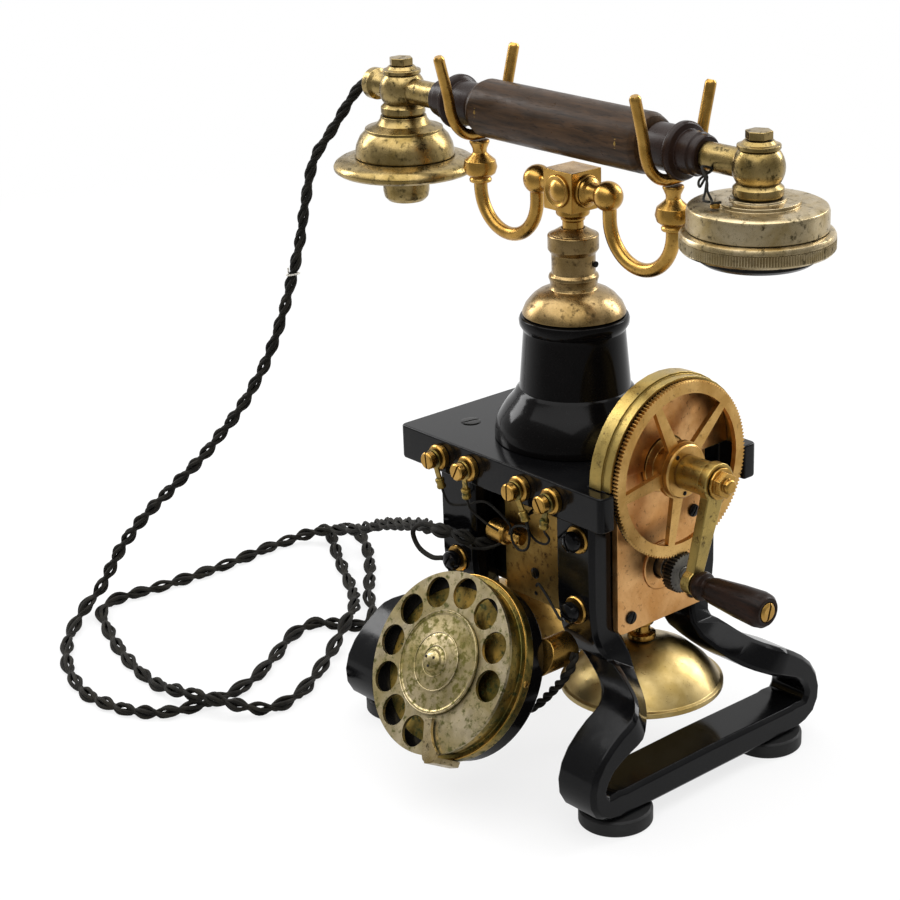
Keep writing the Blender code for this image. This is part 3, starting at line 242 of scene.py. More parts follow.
def wood(name, dark, light):
    """Close-grained dark wood with its grain along X."""
    made, tree, shader, where = surface(name)
    shader.inputs["Specular IOR Level"].default_value = 0.12
    lines = stretched(tree, where, (0.12, 1.0, 1.0))
    figure = noise(tree, lines, 2.4, 6, 0.62, 0.5)
    pores = span(tree, noise(tree, lines, 0.55, 3, 0.5), 0.58, 0.7)
    colour = mixed(tree, span(tree, figure, 0.34, 0.68), dark, light)
    colour = mixed(tree, maths(tree, "MULTIPLY", pores, 0.75), colour, tuple(c * 0.35 for c in dark))
    gloss = span(tree, noise(tree, where, 7, 5, 0.6), 0.3, 0.7, 0.26, 0.42)
    gloss = maths(tree, "ADD", gloss, maths(tree, "MULTIPLY", pores, 0.2))
    plug(tree, shader, Base_Color=colour, Roughness=gloss)
    bumps(tree, shader, maths(tree, "SUBTRACT", figure, pores), 0.05, 0.5)
    return made


def cloth(name, dark, light):
    """Tightly woven cotton with a paler fleck."""
    made, tree, shader, where = surface(name)
    shader.inputs["Specular IOR Level"].default_value = 0.16
    shader.inputs["Sheen Weight"].default_value = 0.02
    shader.inputs["Sheen Roughness"].default_value = 0.5
    weave = noise(tree, where, 0.45, 2, 0.5)
    wear = span(tree, noise(tree, where, 6, 4, 0.6), 0.4, 0.7)
    colour = mixed(tree, span(tree, weave, 0.42, 0.7), dark, light)
    colour = mixed(tree, maths(tree, "MULTIPLY", wear, 0.5), colour, tuple(c * 1.9 for c in light))
    plug(tree, shader, Base_Color=colour, Roughness=span(tree, weave, 0.3, 0.7, 0.62, 0.9))
    bumps(tree, shader, weave, 0.12, 0.8)
    return made


METALS = {
    # bright tone, dull tone, tarnish (also the painted shade in corners), how little of it, least and most
    # roughness, squeeze of the grain
    "gold_brass": ((0.58, 0.34, 0.085), (0.33, 0.18, 0.035), (0.09, 0.045, 0.012), 0.60, (0.16, 0.36)),
    "dull_brass": ((0.40, 0.295, 0.125), (0.21, 0.145, 0.045), (0.06, 0.045, 0.016), 0.53, (0.18, 0.38)),
    "dial_brass": ((0.50, 0.42, 0.275), (0.35, 0.28, 0.13), (0.10, 0.095, 0.03), 0.51, (0.26, 0.46)),
    "worn_brass": ((0.50, 0.41, 0.25), (0.30, 0.24, 0.09), (0.13, 0.115, 0.03), 0.46, (0.26, 0.46)),
    "gong_brass": ((0.50, 0.38, 0.17), (0.34, 0.24, 0.08), (0.12, 0.08, 0.03), 0.64, (0.26, 0.42)),
    "case_brass": ((0.42, 0.28, 0.07), (0.12, 0.10, 0.025), (0.045, 0.055, 0.02), 0.50, (0.24, 0.46)),
    "olive_brass": ((0.50, 0.35, 0.10), (0.34, 0.25, 0.08), (0.07, 0.045, 0.018), 0.57, (0.22, 0.42)),
    "cap_brass": ((0.36, 0.25, 0.115), (0.22, 0.145, 0.055), (0.07, 0.045, 0.018), 0.54, (0.18, 0.36)),
    "copper_brass": ((0.80, 0.46, 0.19), (0.60, 0.29, 0.09), (0.20, 0.08, 0.03), 0.60, (0.28, 0.46),
                     (1.0, 1.0, 0.12)),
    "gear_brass": ((0.72, 0.45, 0.155), (0.50, 0.28, 0.075), (0.14, 0.06, 0.02), 0.60, (0.24, 0.44)),
    # A dark brass: the pieces in shadow under the telephone's body take it as painted shade, the grip's pins as
    # their own tone.
    "dark_brass_and_shade": ((0.42, 0.27, 0.08), (0.26, 0.16, 0.04), (0.06, 0.03, 0.012), 0.55, (0.32, 0.52)),
    "dark_steel": ((0.17, 0.16, 0.13), (0.06, 0.055, 0.05), (0.02, 0.015, 0.01), 0.56, (0.28, 0.5)),
    "worn_nickel": ((0.56, 0.46, 0.29), (0.35, 0.26, 0.115), (0.07, 0.055, 0.025), 0.54, (0.2, 0.4)),
}
LACQUERS = {
    # colour, worn edges, least and most roughness, dust, shine
    "black_japan": ((0.0022, 0.0022, 0.0025), (0.06, 0.045, 0.03)),
    "ebonized_wood": ((0.0022, 0.0019, 0.0019), (0.05, 0.025, 0.015), (0.07, 0.2), 0.5, 0.10),
    "ebonite": ((0.004, 0.0035, 0.003), (0.03, 0.025, 0.02), (0.16, 0.34)),
    "collar": ((0.014, 0.007, 0.005), (0.07, 0.035, 0.02), (0.2, 0.36)),
    "black_rubber": ((0.015, 0.015, 0.015), (0.03, 0.03, 0.027), (0.4, 0.6), 0.8),
}
WOODS = {
    "dark_wood": ((0.016, 0.0085, 0.0038), (0.056, 0.029, 0.013)),
    "handle": ((0.006, 0.0032, 0.0022), (0.022, 0.010, 0.006)),
}
CLOTHS = {
    "cord_cloth": ((0.0022, 0.002, 0.0016), (0.015, 0.013, 0.009)),
    "thread": ((0.45, 0.43, 0.38), (0.62, 0.60, 0.55)),
}
FINISH = {name: make(f"{name}_finish", *values)
          for make, rows in ((metal, METALS), (lacquer, LACQUERS), (wood, WOODS), (cloth, CLOTHS))
          for name, values in rows.items()}
# The nodes whose finish differs from the one their CAD colour names.
OTHER_FINISH = {
    "gear_guard": "olive_brass", "main_gear": "gear_brass", "axle_bearing": "gear_brass",
    # front_panel, magneto_base and gong_left take the dark brass as painted shade, since they sit in shadow.
    "crank_arm": "olive_brass", "crank_handle": "handle", "front_panel": "dark_brass_and_shade",
    "magneto_base": "dark_brass_and_shade", "gong_left": "dark_brass_and_shade", "gong_right": "gong_brass",
    "column_cap": "cap_brass", "finger_wheel": "dial_brass", "dial_centre": "worn_brass",
    "finger_stop": "worn_nickel", "dial_case": "case_brass", "transmitter_case": "worn_nickel",
    "transmitter_ring": "worn_nickel", "transmitter_collar": "collar", "receiver_collar": "collar",
}
BODY = {name: body for body, names in frame["record"]["behaviour"]["bodies"].items() for name in names}
SLOT = {name: obj.data.materials[0].name.split(".")[0] for name, obj in frame["nodes"].items()}


# ---------- shapes

def made_object(name, work):
    """A bmesh turned into an object."""
    mesh = bpy.data.meshes.new(name)
    work.to_mesh(mesh)
    work.free()
    return linked(name, mesh)


def mesh_object(name, verts, faces):
    work = bmesh.new()
    made = [work.verts.new(v) for v in verts]
    for face in faces:
        work.faces.new([made[i] for i in face])
    bmesh.ops.recalc_face_normals(work, faces=work.faces)
    return made_object(name, work)


def smooth(obj, edge, angle=30.0):
    """Smooth shading, with the hard edges of the mesh rounded by edge millimetres."""
    mesh = obj.data
    mesh.shade_smooth()
    if edge:
        bevel = obj.modifiers.new("edges", "BEVEL")
        bevel.width = edge * MM
        bevel.segments = 2
        bevel.limit_method = "ANGLE"
        bevel.angle_limit = radians(angle)
        bevel.use_clamp_overlap = True
        weigh = obj.modifiers.new("normals", "WEIGHTED_NORMAL")
        weigh.keep_sharp = True
    else:
        mesh.set_sharp_from_angle(angle=radians(angle))
    return obj


def dress(obj, body, slot, finish=None):
    """Paint a piece with its finish, or with the one its slot names, and let it ride on a body."""
    obj.data.materials.clear()
    obj.data.materials.append(FINISH[finish or slot])
    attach(obj, body)
    return obj


REMADE = {"cord"}


def stands_for(obj, name, edge=0.25, angle=30.0):
    """A piece takes a CAD node's place, with its finish and its body."""
    smooth(obj, edge, angle)
    dress(obj, BODY[name], SLOT[name], OTHER_FINISH.get(name))
    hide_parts(name)
    REMADE.add(name)
    return obj


def finer(name, edge=0.3, angle=30.0):
    """A CAD node's own shape with welded facets, smooth faces and rounded edges."""
    work = bmesh.new()
    work.from_mesh(frame["nodes"][name].data)
    bmesh.ops.remove_doubles(work, verts=work.verts, dist=WELD)
    bmesh.ops.dissolve_limit(work, angle_limit=radians(0.6), verts=work.verts, edges=work.edges)
    work.verts.index_update()
    verts = [v.co.copy() for v in work.verts]
    faces = [[v.index for v in f.verts] for f in work.faces]
    work.free()
    return stands_for(mesh_object(f"{name}_piece", verts, faces), name, edge, angle)


def low(name):
    """The least X, Y and Z of a CAD node, in millimetres."""
    return (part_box(name)[0] - MIDDLE) / MM


def high(name):
    """The greatest X, Y and Z of a CAD node, in millimetres."""
    return (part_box(name)[1] - MIDDLE) / MM


def centre(name):
    return (low(name) + high(name)) / 2


def across(axis):
    """Two directions at right angles to an axis and to each other."""
    first = Vector(axis).orthogonal().normalized()
    return first, Vector(axis).normalized().cross(first)


def lathe(name, profile, at, axis, steps=72, ring=False):
    """A turned piece: profile holds (radius, height) along its axis, in millimetres."""
    axis = Vector(axis).normalized()
    first, second = across(axis)
    verts = []
    rows = []
    for radius, height in profile:
        count = steps if radius > 1e-3 else 1
        rows.append([len(verts) + k for k in range(count)])
        for k in range(count):
            out = polar(first, second, TAU * k / steps)
            verts.append(spot(*(Vector(at) + axis * height + out * (radius if count > 1 else 0))))
    faces = []
    for a, b in zip(rows, rows[1:] + rows[:1] if ring else rows[1:]):
        for k in range(steps if len(a) + len(b) > 2 else 0):
            corners = [a[k % len(a)], a[(k + 1) % len(a)], b[(k + 1) % len(b)], b[k % len(b)]]
            faces.append(list(dict.fromkeys(corners)))
    return mesh_object(name, verts, faces)


# Points of a profile that lie closer than this are one point.
NEAR = 0.03


def outline_of(name, at, axis):
    """The (radius, height) profile of a turned CAD node along its own facets, and whether it is a ring."""
    axis = Vector(axis).normalized()
    first, second = across(axis)
    work = bmesh.new()
    work.from_mesh(frame["nodes"][name].data)
    bmesh.ops.remove_doubles(work, verts=work.verts, dist=WELD)
    place = {}
    for v in work.verts:
        offset = (v.co - MIDDLE) / MM - Vector(at)
        x = offset.dot(first)
        y = offset.dot(second)
        place[v] = (round(hypot(x, y), 2), round(offset.dot(axis), 2), atan2(y, x))
    merged = {}
    for key in dict.fromkeys(p[:2] for p in place.values()):
        near = [k for k in merged.values() if abs(k[0] - key[0]) < NEAR and abs(k[1] - key[1]) < NEAR]
        merged[key] = near[0] if near else key
    links = {key: set() for key in merged.values()}
    for edge in work.edges:
        a, b = (place[v] for v in edge.verts)
        turn = abs((a[2] - b[2] + pi) % TAU - pi)
        ends = merged[a[:2]], merged[b[:2]]
        if ends[0] != ends[1] and (turn < 2e-3 or min(a[0], b[0]) < 0.02):
            links[ends[0]].add(ends[1])
            links[ends[1]].add(ends[0])
    work.free()
    loose = [key for key in links if len(links[key]) < 2]
    for key in loose:
        mates = [k for k in loose if k != key and abs(k[1] - key[1]) < NEAR and k not in links[key]]
        if mates:
            links[key].add(mates[0])
            links[mates[0]].add(key)
    ends = [key for key in links if len(links[key]) < 2]
    chain = [ends[0] if ends else next(iter(links))]
    while True:
        onward = [key for key in links[chain[-1]] if key not in chain]
        if not onward:
            break
        chain.append(onward[0])
    if ends:
        return [(0, chain[0][1]), *[k for k in chain if k[0] > 0.02], (0, chain[-1][1])], False
    return chain, True


def respun(name, axis=Z, at=None, edge=0.25):
    """A turned CAD node made again from its own profile with a finely divided round."""
    at = at or centre(name)
    profile, ring = outline_of(name, at, axis)
    return stands_for(lathe(f"{name}_piece", profile, at, axis, ring=ring), name, edge)


def block(name, half, at, axis=Z, spin=0.0):
    """A box with half sizes along two directions across its axis and along it."""
    axis = Vector(axis).normalized()
    first, second = across(axis)
    ways = polar(first, second, spin), polar(second, -first, spin), axis
    verts = []
    for k in range(8):
        signs = (k & 1) * 2 - 1, (k & 2) - 1, (k & 4) / 2 - 1
        verts.append(spot(*(Vector(at) + sum((w * h * g for w, h, g in zip(ways, half, signs)), Vector()))))
    faces = [(0, 1, 3, 2), (4, 5, 7, 6), (0, 1, 5, 4), (2, 3, 7, 6), (0, 2, 6, 4), (1, 3, 7, 5)]
    return mesh_object(name, verts, faces)


def settled(obj):
    """An object's mesh with its modifiers or its curve made real."""
    bpy.context.view_layer.update()
    return bpy.data.meshes.new_from_object(obj.evaluated_get(bpy.context.evaluated_depsgraph_get()))


def carved(obj, tools):
    """A piece with other shapes cut out of it."""
    for tool in tools:
        step = obj.modifiers.new("cut", "BOOLEAN")
        step.operation = "DIFFERENCE"
        step.solver = "EXACT"
        step.object = tool
    mesh = settled(obj)
    obj.modifiers.clear()
    obj.data = mesh
    for tool in tools:
        bpy.data.objects.remove(tool)
    return obj


def plate(name, outline, holes, low_z, high_z, at, ways):
    """A flat piece between two heights: ways are its own X, Y and Z directions."""
    curve = bpy.data.curves.new(name, "CURVE")
    curve.dimensions = "2D"
    curve.fill_mode = "BOTH"
    curve.extrude = (high_z - low_z) / 2 * MM
    for loop in (outline, *holes):
        spline = curve.splines.new("POLY")
        spline.points.add(len(loop) - 1)
        for point, (x, y) in zip(spline.points, loop):
            point.co = (x * MM, y * MM, 0, 1)
        spline.use_cyclic_u = True
    form = linked(name, curve)
    mesh = settled(form)
    bpy.data.objects.remove(form)
    turn = Matrix(ways).transposed().to_4x4()
    mesh.transform(Matrix.Translation(spot(*(Vector(at) + Vector(ways[2]) * (low_z + high_z) / 2))) @ turn)
    work = bmesh.new()
    work.from_mesh(mesh)
    bmesh.ops.remove_doubles(work, verts=work.verts, dist=WELD)
    bmesh.ops.recalc_face_normals(work, faces=work.faces)
    work.to_mesh(mesh)
    work.free()
    return linked(name, mesh)


def ring_points(radius, count, at=(0, 0), start=0.0, end=TAU):
    """Points round a circle, or along a part of it."""
    steps = count if end - start == TAU else count - 1
    turns = [start + (end - start) * k / steps for k in range(count)]
    return [(at[0] + radius * cos(t), at[1] + radius * sin(t)) for t in turns]


# ---------- cord

# A point with two numbers lies on the table.
LYING_Z = 2.6
CORD_ROUTE = [point if len(point) == 3 else (*point, LYING_Z) for point in (
    # out of the handset and down to the table
    (-130.2, 0, 274.9), (-135.4, 0, 274.9), (-141, -3, 268), (-149, -9, 253), (-157, -15, 238),
    (-161.5, -17.6, 220), (-165, -20, 199), (-172, -24.5, 170), (-180, -30, 144), (-192, -38, 118),
    (-213, -52, 86), (-237, -68, 56.5), (-252, -77.5, 35), (-260, -83, 18), (-261, -90, 9.0),
    # the outer loop on the table
    (-256, -99, 7.2), (-250, -109, 3.2), (-233, -124.5), (-208, -138.5), (-180, -146), (-155, -142),
    (-139, -131), (-134, -117), (-132.5, -100), (-137.5, -82), (-152, -57.5), (-164, -38), (-165.5, -24),
    (-157, -17), (-149, -12.5), (-148.5, -3), (-157, 5.5), (-172, 14.5),
    # the narrow bight at the back and the way forward again
    (-192, 31.4), (-215, 48.5), (-236, 60), (-250, 62), (-252, 53), (-240, 44.5), (-226, 36), (-207, 25.5),
    (-185.5, 14, 2.9), (-168, 2.5, 6.4), (-156.5, -7, 8.2), (-147, -19, 8.2), (-137, -33, 5.0), (-119, -60),
    (-109, -79), (-107.5, -94, 3.0), (-114.5, -105, 5.6), (-125, -112.5, 8.0), (-137, -117.5, 8.2),
    (-151, -119, 6.0), (-167, -117.5, 2.8), (-186, -115.2), (-212, -108.6), (-238, -99.5), (-254, -91.5),
    # back along the table, over the bight and up to the front of the left leg
    (-260.5, -80), (-258.5, -62), (-256.5, -35), (-257, -8), (-259, 14), (-258.5, 29, 3.2), (-254, 38, 5.2),
    (-243, 43, 9.6), (-221, 39.8, 17), (-194.5, 32.3, 28.5), (-160.4, 18.4, 45), (-117.7, -2.7, 64),
    (-75.3, -25.3, 83), (-57, -38, 91.5), (-44, -43, 95.5), (-34, -42.8, 97), (-27.5, -41, 96),
    (-22, -36.8, 94), (-18.5, -32.4, 92.4),
)]
CORD_STEP = 1.25
HANGING_LENGTH = 330.0
BEAD_PAIR = 20.6
BEAD_REACH = (1.65, 0.95)
PINCH_REACH = (0.95, -0.45)
SLOW_TWIST = 60.0
STRANDS = 5
STRAND_RADIUS = 0.95


def smooth_path(route, step):
    """Points of a smooth curve through a route, about one step apart (centripetal Catmull-Rom)."""
    nodes = [Vector(p) for p in route]
    nodes = [2 * nodes[0] - nodes[1], *nodes, 2 * nodes[-1] - nodes[-2]]
    path = [nodes[1]]
    for a, b, c, d in zip(nodes, nodes[1:], nodes[2:], nodes[3:]):
        ta = 0.0
        tb = ta + sqrt((b - a).length)
        tc = tb + sqrt((c - b).length)
        td = tc + sqrt((d - c).length)
        count = max(1, round((c - b).length / step))
        for i in range(1, count + 1):
            t = tb + (tc - tb) * i / count
            ab = a.lerp(b, (t - ta) / (tb - ta))
            bc = b.lerp(c, (t - tb) / (tc - tb))
            cd = c.lerp(d, (t - tc) / (td - tc))
            first = ab.lerp(bc, (t - ta) / (tc - ta))
            second = bc.lerp(cd, (t - tb) / (td - tb))
            path.append(first.lerp(second, (t - tb) / (tc - tb)))
    return path


def frames(path):
    """Tangent, normal and binormal at each point, carried along without twist."""
    found = []
    start = (path[1] - path[0]).normalized()
    normal = Z if abs(start.z) < 0.9 else start.orthogonal()
    for i, point in enumerate(path):
        ahead = path[min(i + 1, len(path) - 1)] - path[max(i - 1, 0)]
        tangent = ahead.normalized()
        normal = (normal - tangent * normal.dot(tangent)).normalized()
        found.append((point, tangent, normal, tangent.cross(normal)))
    return found


def sweep(name, path, radius, sides=8):
    """A tube through a list of points; radius is a number or one for each point."""
    radii = radius if isinstance(radius, list) else [radius] * len(path)
    verts = []
    for (point, _, normal, side), r in zip(frames(path), radii):
        for k in range(sides):
            verts.append((point + polar(normal, side, TAU * k / sides) * r) * MM)
    faces = []
    for i in range(len(path) - 1):
        for k in range(sides):
            a = i * sides + k
            b = i * sides + (k + 1) % sides
            faces.append((a, b, b + sides, a + sides))
    faces.append(tuple(reversed(range(sides))))
    faces.append(tuple(range((len(path) - 1) * sides, len(path) * sides)))
    obj = mesh_object(name, [v + MIDDLE for v in verts], faces)
    obj.data.shade_smooth()
    return obj


def joined(name, pieces):
    """Several pieces made one object."""
    work = bmesh.new()
    for piece in pieces:
        piece.data.transform(piece.matrix_world)
        work.from_mesh(piece.data)
        bpy.data.objects.remove(piece)
    return made_object(name, work)


def assembled(name, pieces, edge):
    """Several pieces that take a CAD node's place together."""
    stands_for(joined(f"{name}_piece", pieces), name, edge)


def cord():
    """Cloth-covered threads that swing across the cord's middle together, so that it pinches into beads.

    The beads are spaced as the photograph shows them: farther apart where the cord runs along the view.
    """
    path = smooth_path(CORD_ROUTE, CORD_STEP)
    length = sum((b - a).length for a, b in zip(path, path[1:]))
    view = towards_camera()
    lines = [[] for _ in range(STRANDS)]
    run = 0.0
    beat = 0.0
    for i, (point, tangent, normal, side) in enumerate(frames(path)):
        step = (path[i] - path[i - 1]).length if i else 0
        run += step
        shown_share = max(0.5, sqrt(1 - min(1.0, tangent.dot(view) ** 2)))
        beat += TAU * step / BEAD_PAIR * shown_share
        slack = min(1.0, max(0.0, run / HANGING_LENGTH))
        ends = min(1.0, 0.35 + min(run, length - run) / 8)
        bead, pinch = (first + more * slack for first, more in (BEAD_REACH, PINCH_REACH))
        for k, line in enumerate(lines):
            turn = TAU * k / STRANDS + run / SLOW_TWIST
            wide = polar(normal, side, turn) * bead * cos(beat)
            thin = polar(side, -normal, turn) * pinch * sin(beat)
            place = point + (wide + thin) * ends
            place.z = max(place.z, STRAND_RADIUS + 0.1)
            line.append(place)
    obj = joined("cord_piece", [sweep(f"strand_{k}", line, STRAND_RADIUS) for k, line in enumerate(lines)])
    obj.data.shade_smooth()
    obj.data.materials.append(FINISH["cord_cloth"])
    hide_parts("cord")
    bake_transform(obj)


# ---------- the CAD nodes, made again finer

DIAL_AT = (Vector(PIVOT["dial_turn"]) - MIDDLE) / MM
DIAL_TILT = radians(60)
DIAL_OUT = polar(Z, -Y, DIAL_TILT)
DIAL_UP = polar(Y, Z, DIAL_TILT)
CRANK_AT = (Vector(PIVOT["crank_turn"]) - MIDDLE) / MM
CRANK_AXLE = Vector((0, CRANK_AT.y, CRANK_AT.z))
GRIP_Z = centre("handset_grip").z
GRIP_RADIUS = 12.25
CUBE_HALF = 8.5
BLOCK_Z = high("cradle_block").z - CUBE_HALF
ROD_RADIUS = 2.4
FORK_X = high("cradle_fork_right").x - ROD_RADIUS
BEND_RADIUS = 18
HOLES = 10
HOLE_GAP = radians(30)
HOLE_RADIUS = 6.7
HOLE_CIRCLE = 30.7
WHEEL_RADIUS = 39.1
STOP_TURN = radians(-67)
LEG_FACE_Y = -37.4


def turned_nodes():
    for name in ("column", "column_cap", "receiver_shell", "receiver_rim", "receiver_earpiece",
                 "transmitter_case", "transmitter_mouthpiece", "gong_left", "gong_right",
                 "gong_post_left", "gong_post_right", "foot_front_left", "foot_front_right",
                 "foot_rear_left", "foot_rear_right"):
        respun(name)
    for name in ("handset_grip", "receiver_collar", "transmitter_collar", "cord_boss", "armature",
                 "axle_bearing", "crank_handle"):
        respun(name, X)
    for name in ("dial_base", "dial_case", "dial_centre"):
        respun(name, DIAL_OUT, DIAL_AT, 0.3)


def slotted(name, axis, way, half, turn):
    """A turned CAD node with a driver slot across the end that faces a way."""
    middle = centre(name)
    profile, ring = outline_of(name, middle, axis)
    head = lathe(f"{name}_piece", profile, middle, axis, 48, ring)
    face = middle + way * (high(name) - middle).dot(axis)
    stands_for(carved(head, [block("slot", half, face, way, turn)]), name, 0.12)


def slotted_nodes():
    """The four terminals and the pin of the crank's handle."""
    for number, turn in enumerate((0.9, 0.3, 0.8, 1.35), 1):
        slotted(f"terminal_{number}", Y, FRONT, (5, 0.42, 0.9), turn)
    slotted("handle_pin", X, X, (5, 0.5, 1.0), 0.5)


def ball(name, radius, at):
    profile = [(radius * sin(pi * k / 24), -radius * cos(pi * k / 24)) for k in range(25)]
    return lathe(name, profile, at, Z, 64)


def handset_joints():
    """The round knuckle of each end of the handset: ball, link, washer under the nut and seat below."""
    grip = centre("handset_grip")
    start = high("transmitter_collar").x - grip.x + 0.3
    washer = [(0, 10.5), (5.7, 10.5), (7.0, 9.2), (8.5, 8.8), (8.5, 7.3), (6.5, 6.4), (0, 6.4)]
    seat = [(0, -6), (8.2, -6), (9.9, -7.6), (9.9, -10.2), (9.2, -11.2), (0, -11.2)]
    for hand, side in (("receiver", -1), ("transmitter", 1)):
        at = Vector((centre(f"{hand}_nut").x, 0, GRIP_Z))
        reach = abs(at.x - grip.x) - 4 - start
        link = [(0, 0), (5.7, 0), (5.7, reach), (0, reach)]
        foot = grip + X * side * start
        pieces = [ball("ball", 10.3, at), lathe("link", link, (foot.x, 0, GRIP_Z), X * side, 48),
                  lathe("washer", washer, at, Z, 64), lathe("seat", seat, at, Z, 64)]
        assembled(f"{hand}_joint", pieces, 0.2)


def cradle_pieces():
    """The cube on its stem with its bosses, and the two arms that carry the forks."""
    at = Vector((0, 0, BLOCK_Z))
    stem_end = low("cradle_block").z - BLOCK_Z
    half = (CUBE_HALF, CUBE_HALF, CUBE_HALF)
    cube = block("cube", half, at, Z, -atan2(across(Z)[0].y, across(Z)[0].x))
    stem = [(0, -4.5), (7.1, -4.5), (7.1, -10.7), (6.7, -11.3), (5.2, -12.3), (5.2, -13.1), (4.5, -13.9),
            (4.5, stem_end), (0, stem_end)]
    dome = [(0, 11.0), (2.4, 10.7), (4.0, 9.8), (4.7, 9.1), (5.3, 9.2), (6.3, 9.8), (6.9, 9.3), (6.9, 0),
            (0, 0)]
    ring = [(0, 9.8), (6.5, 9.8), (6.9, 9.4), (6.9, 0), (0, 0)]
    pieces = [cube, lathe("stem", stem, at, Z, 48), lathe("dome", dome, at, FRONT, 48)]
    pieces += [lathe("ring", ring, at, way, 48) for way in (Y, X, -X)]
    assembled("cradle_block", pieces, 0.35)
    knob = [(0, 11.0), (4.2, 11.0), (4.4, 10.1), (3.1, 7.3), (3.0, 5.6), (4.0, 4.5), (6.7, 2.2), (7.4, -0.8),
            (6.6, -3.5), (4.3, -5.2), (4.9, -6.1), (4.7, -7.2), (3.05, -7.8), (2.55, -8.5), (0, -8.5)]
    inner_x = FORK_X - 2 * BEND_RADIUS
    neck = [(0, inner_x - 3), (3.7, inner_x - 3), (3.7, 13.5), (4.3, 11.9), (5.8, 11.0), (6.2, 10.1),
            (0, 10.1)]
    for name, side in (("cradle_arm_left", -1), ("cradle_arm_right", 1)):
        bend = [(-side * BEND_RADIUS, 8.1 + z) for z in (0, -4)]
        bend += [(x * side, z) for x, z in ring_points(BEND_RADIUS, 33, (0, 0), pi, TAU)]
        bend += [(side * BEND_RADIUS, 2), (side * BEND_RADIUS, 4)]
        route = [Vector((side * (FORK_X - BEND_RADIUS) + x, 0, BLOCK_Z - 9.1 + z)) for x, z in bend]
        pieces = [lathe("knob", knob, (side * FORK_X, 0, BLOCK_Z), Z, 48), sweep("bend", route, 2.95, 24),
                  ball("ball", 6.3, (side * (inner_x - 0.8), 0, BLOCK_Z)),
                  lathe("neck", neck, at, X * side, 48)]
        assembled(name, pieces, 0.15)


def cradle_forks():
    """Each fork a bent rod whose two ends are drawn in."""
    half = [(0, 0), (4.0, 0.15), (7.8, 1.25), (11.0, 3.55), (13.4, 6.55), (15.4, 11.55), (16.7, 18.15),
            (18.6, 25.75), (21.0, 34.6)]
    for name, side in (("cradle_fork_left", -1), ("cradle_fork_right", 1)):
        foot = low(name).z + ROD_RADIUS
        points = [(side * FORK_X, y, foot + z) for y, z in half]
        route = smooth_path([(x, -y, z) for x, y, z in reversed(points[1:])] + points, 1.0)
        step = (route[-1] - route[-2]).normalized()
        top = high(name).z - 0.5
        back = Vector((step.x, -step.y, step.z))
        rise = (top - route[-1].z) / step.z
        route = [route[0] + back * rise, route[0] + back * (rise - 0.9), *route,
                 route[-1] + step * (rise - 0.9), route[-1] + step * rise]
        radii = [1.6, 2.25, *[ROD_RADIUS] * (len(route) - 4), 2.25, 1.6]
        stands_for(sweep(f"{name}_piece", route, radii, 24), name, 0.0)


def dial_pieces():
    """The finger wheel with ten round holes."""
    ways = (X, DIAL_UP, DIAL_OUT)
    holes = []
    for i in range(HOLES):
        middle = (HOLE_CIRCLE * cos(HOLE_GAP * i), HOLE_CIRCLE * sin(HOLE_GAP * i))
        holes.append(ring_points(HOLE_RADIUS, 48, middle))
    wheel = plate("wheel", ring_points(WHEEL_RADIUS, 160), holes, -1.6, 0, DIAL_AT, ways)
    spindle = lathe("spindle", [(0, -1.4), (9.0, -1.4), (9.0, -4.7), (0, -4.7)], DIAL_AT, DIAL_OUT, 48)
    assembled("finger_wheel", [wheel, spindle], 0.35)


def knurled_band(name, radius, depth, count, low_z, high_z, at, ways):
    points = []
    for k in range(count):
        turn = TAU * k / count
        for r, extra in ((radius, -0.12), (radius, 0.12), (radius - depth, 0.5)):
            angle = turn + extra * TAU / count
            points.append((r * cos(angle), r * sin(angle)))
    return plate(name, points, [ring_points(radius - 2.2, 96)], low_z, high_z, at, ways)


def transmitter_ring():
    """The wide ring with a knurled band round its lower half."""
    at = Vector((centre("transmitter_ring").x, 0, 0))
    top = high("transmitter_ring").z
    end = low("transmitter_ring").z
    profile = [(24.0, top), (28.0, top), (29.5, top - 0.7), (30.1, top - 1.8), (30.1, top - 2.6),
               (29.8, top - 2.9), (29.8, end + 1.3), (30.0, end + 0.9), (29.2, end), (24.0, end)]
    band = knurled_band("band", 30.18, 0.45, 170, end + 1.1, top - 3.0, at, (X, Y, Z))
    pieces = [lathe("ring", profile, at, Z, 96, True), band]
    assembled("transmitter_ring", pieces, 0.1)


def barrel_piece():
    """The contact barrel on its stud."""
    at = Vector((low("contact_barrel").x, -31.4, 100.0))
    profile = [(0, 19.0), (2.4, 19.0), (3.0, 18.2), (3.0, 11.0), (4.4, 10.6), (5.0, 9.8), (5.0, 0.8),
               (4.2, 0), (0, 0)]
    stud = [(0, -2.85), (2.0, -2.85), (2.0, 2.85), (0, 2.85)]
    pieces = [lathe("barrel", profile, at, X, 48), lathe("stud", stud, at + Vector((6.0, 2.85, 0)), Y, 32)]
    assembled("contact_barrel", pieces, 0.2)


# How far the edges of these CAD nodes are rounded.
EDGES = {
    "frame_left": 0.5, "frame_right": 0.5, "top_plate": 0.9, "main_gear": 0.0, "pinion": 0.0,
    "magnet_bank": 0.6, "receiver_nut": 0.35, "transmitter_nut": 0.35, "crank_nut": 0.3, "crank_arm": 0.5,
}


def dressed_nodes():
    turned_nodes()
    slotted_nodes()
    handset_joints()
    cradle_pieces()
    cradle_forks()
    dial_pieces()
    transmitter_ring()
    barrel_piece()
    stop_piece()
    for name in frame["nodes"]:
        if name not in REMADE:
            finer(name, EDGES.get(name, 0.2))


# ---------- small fittings

def shown(obj, body, slot, finish=None, edge=0.1):
    return dress(smooth(obj, edge), body, slot, finish)


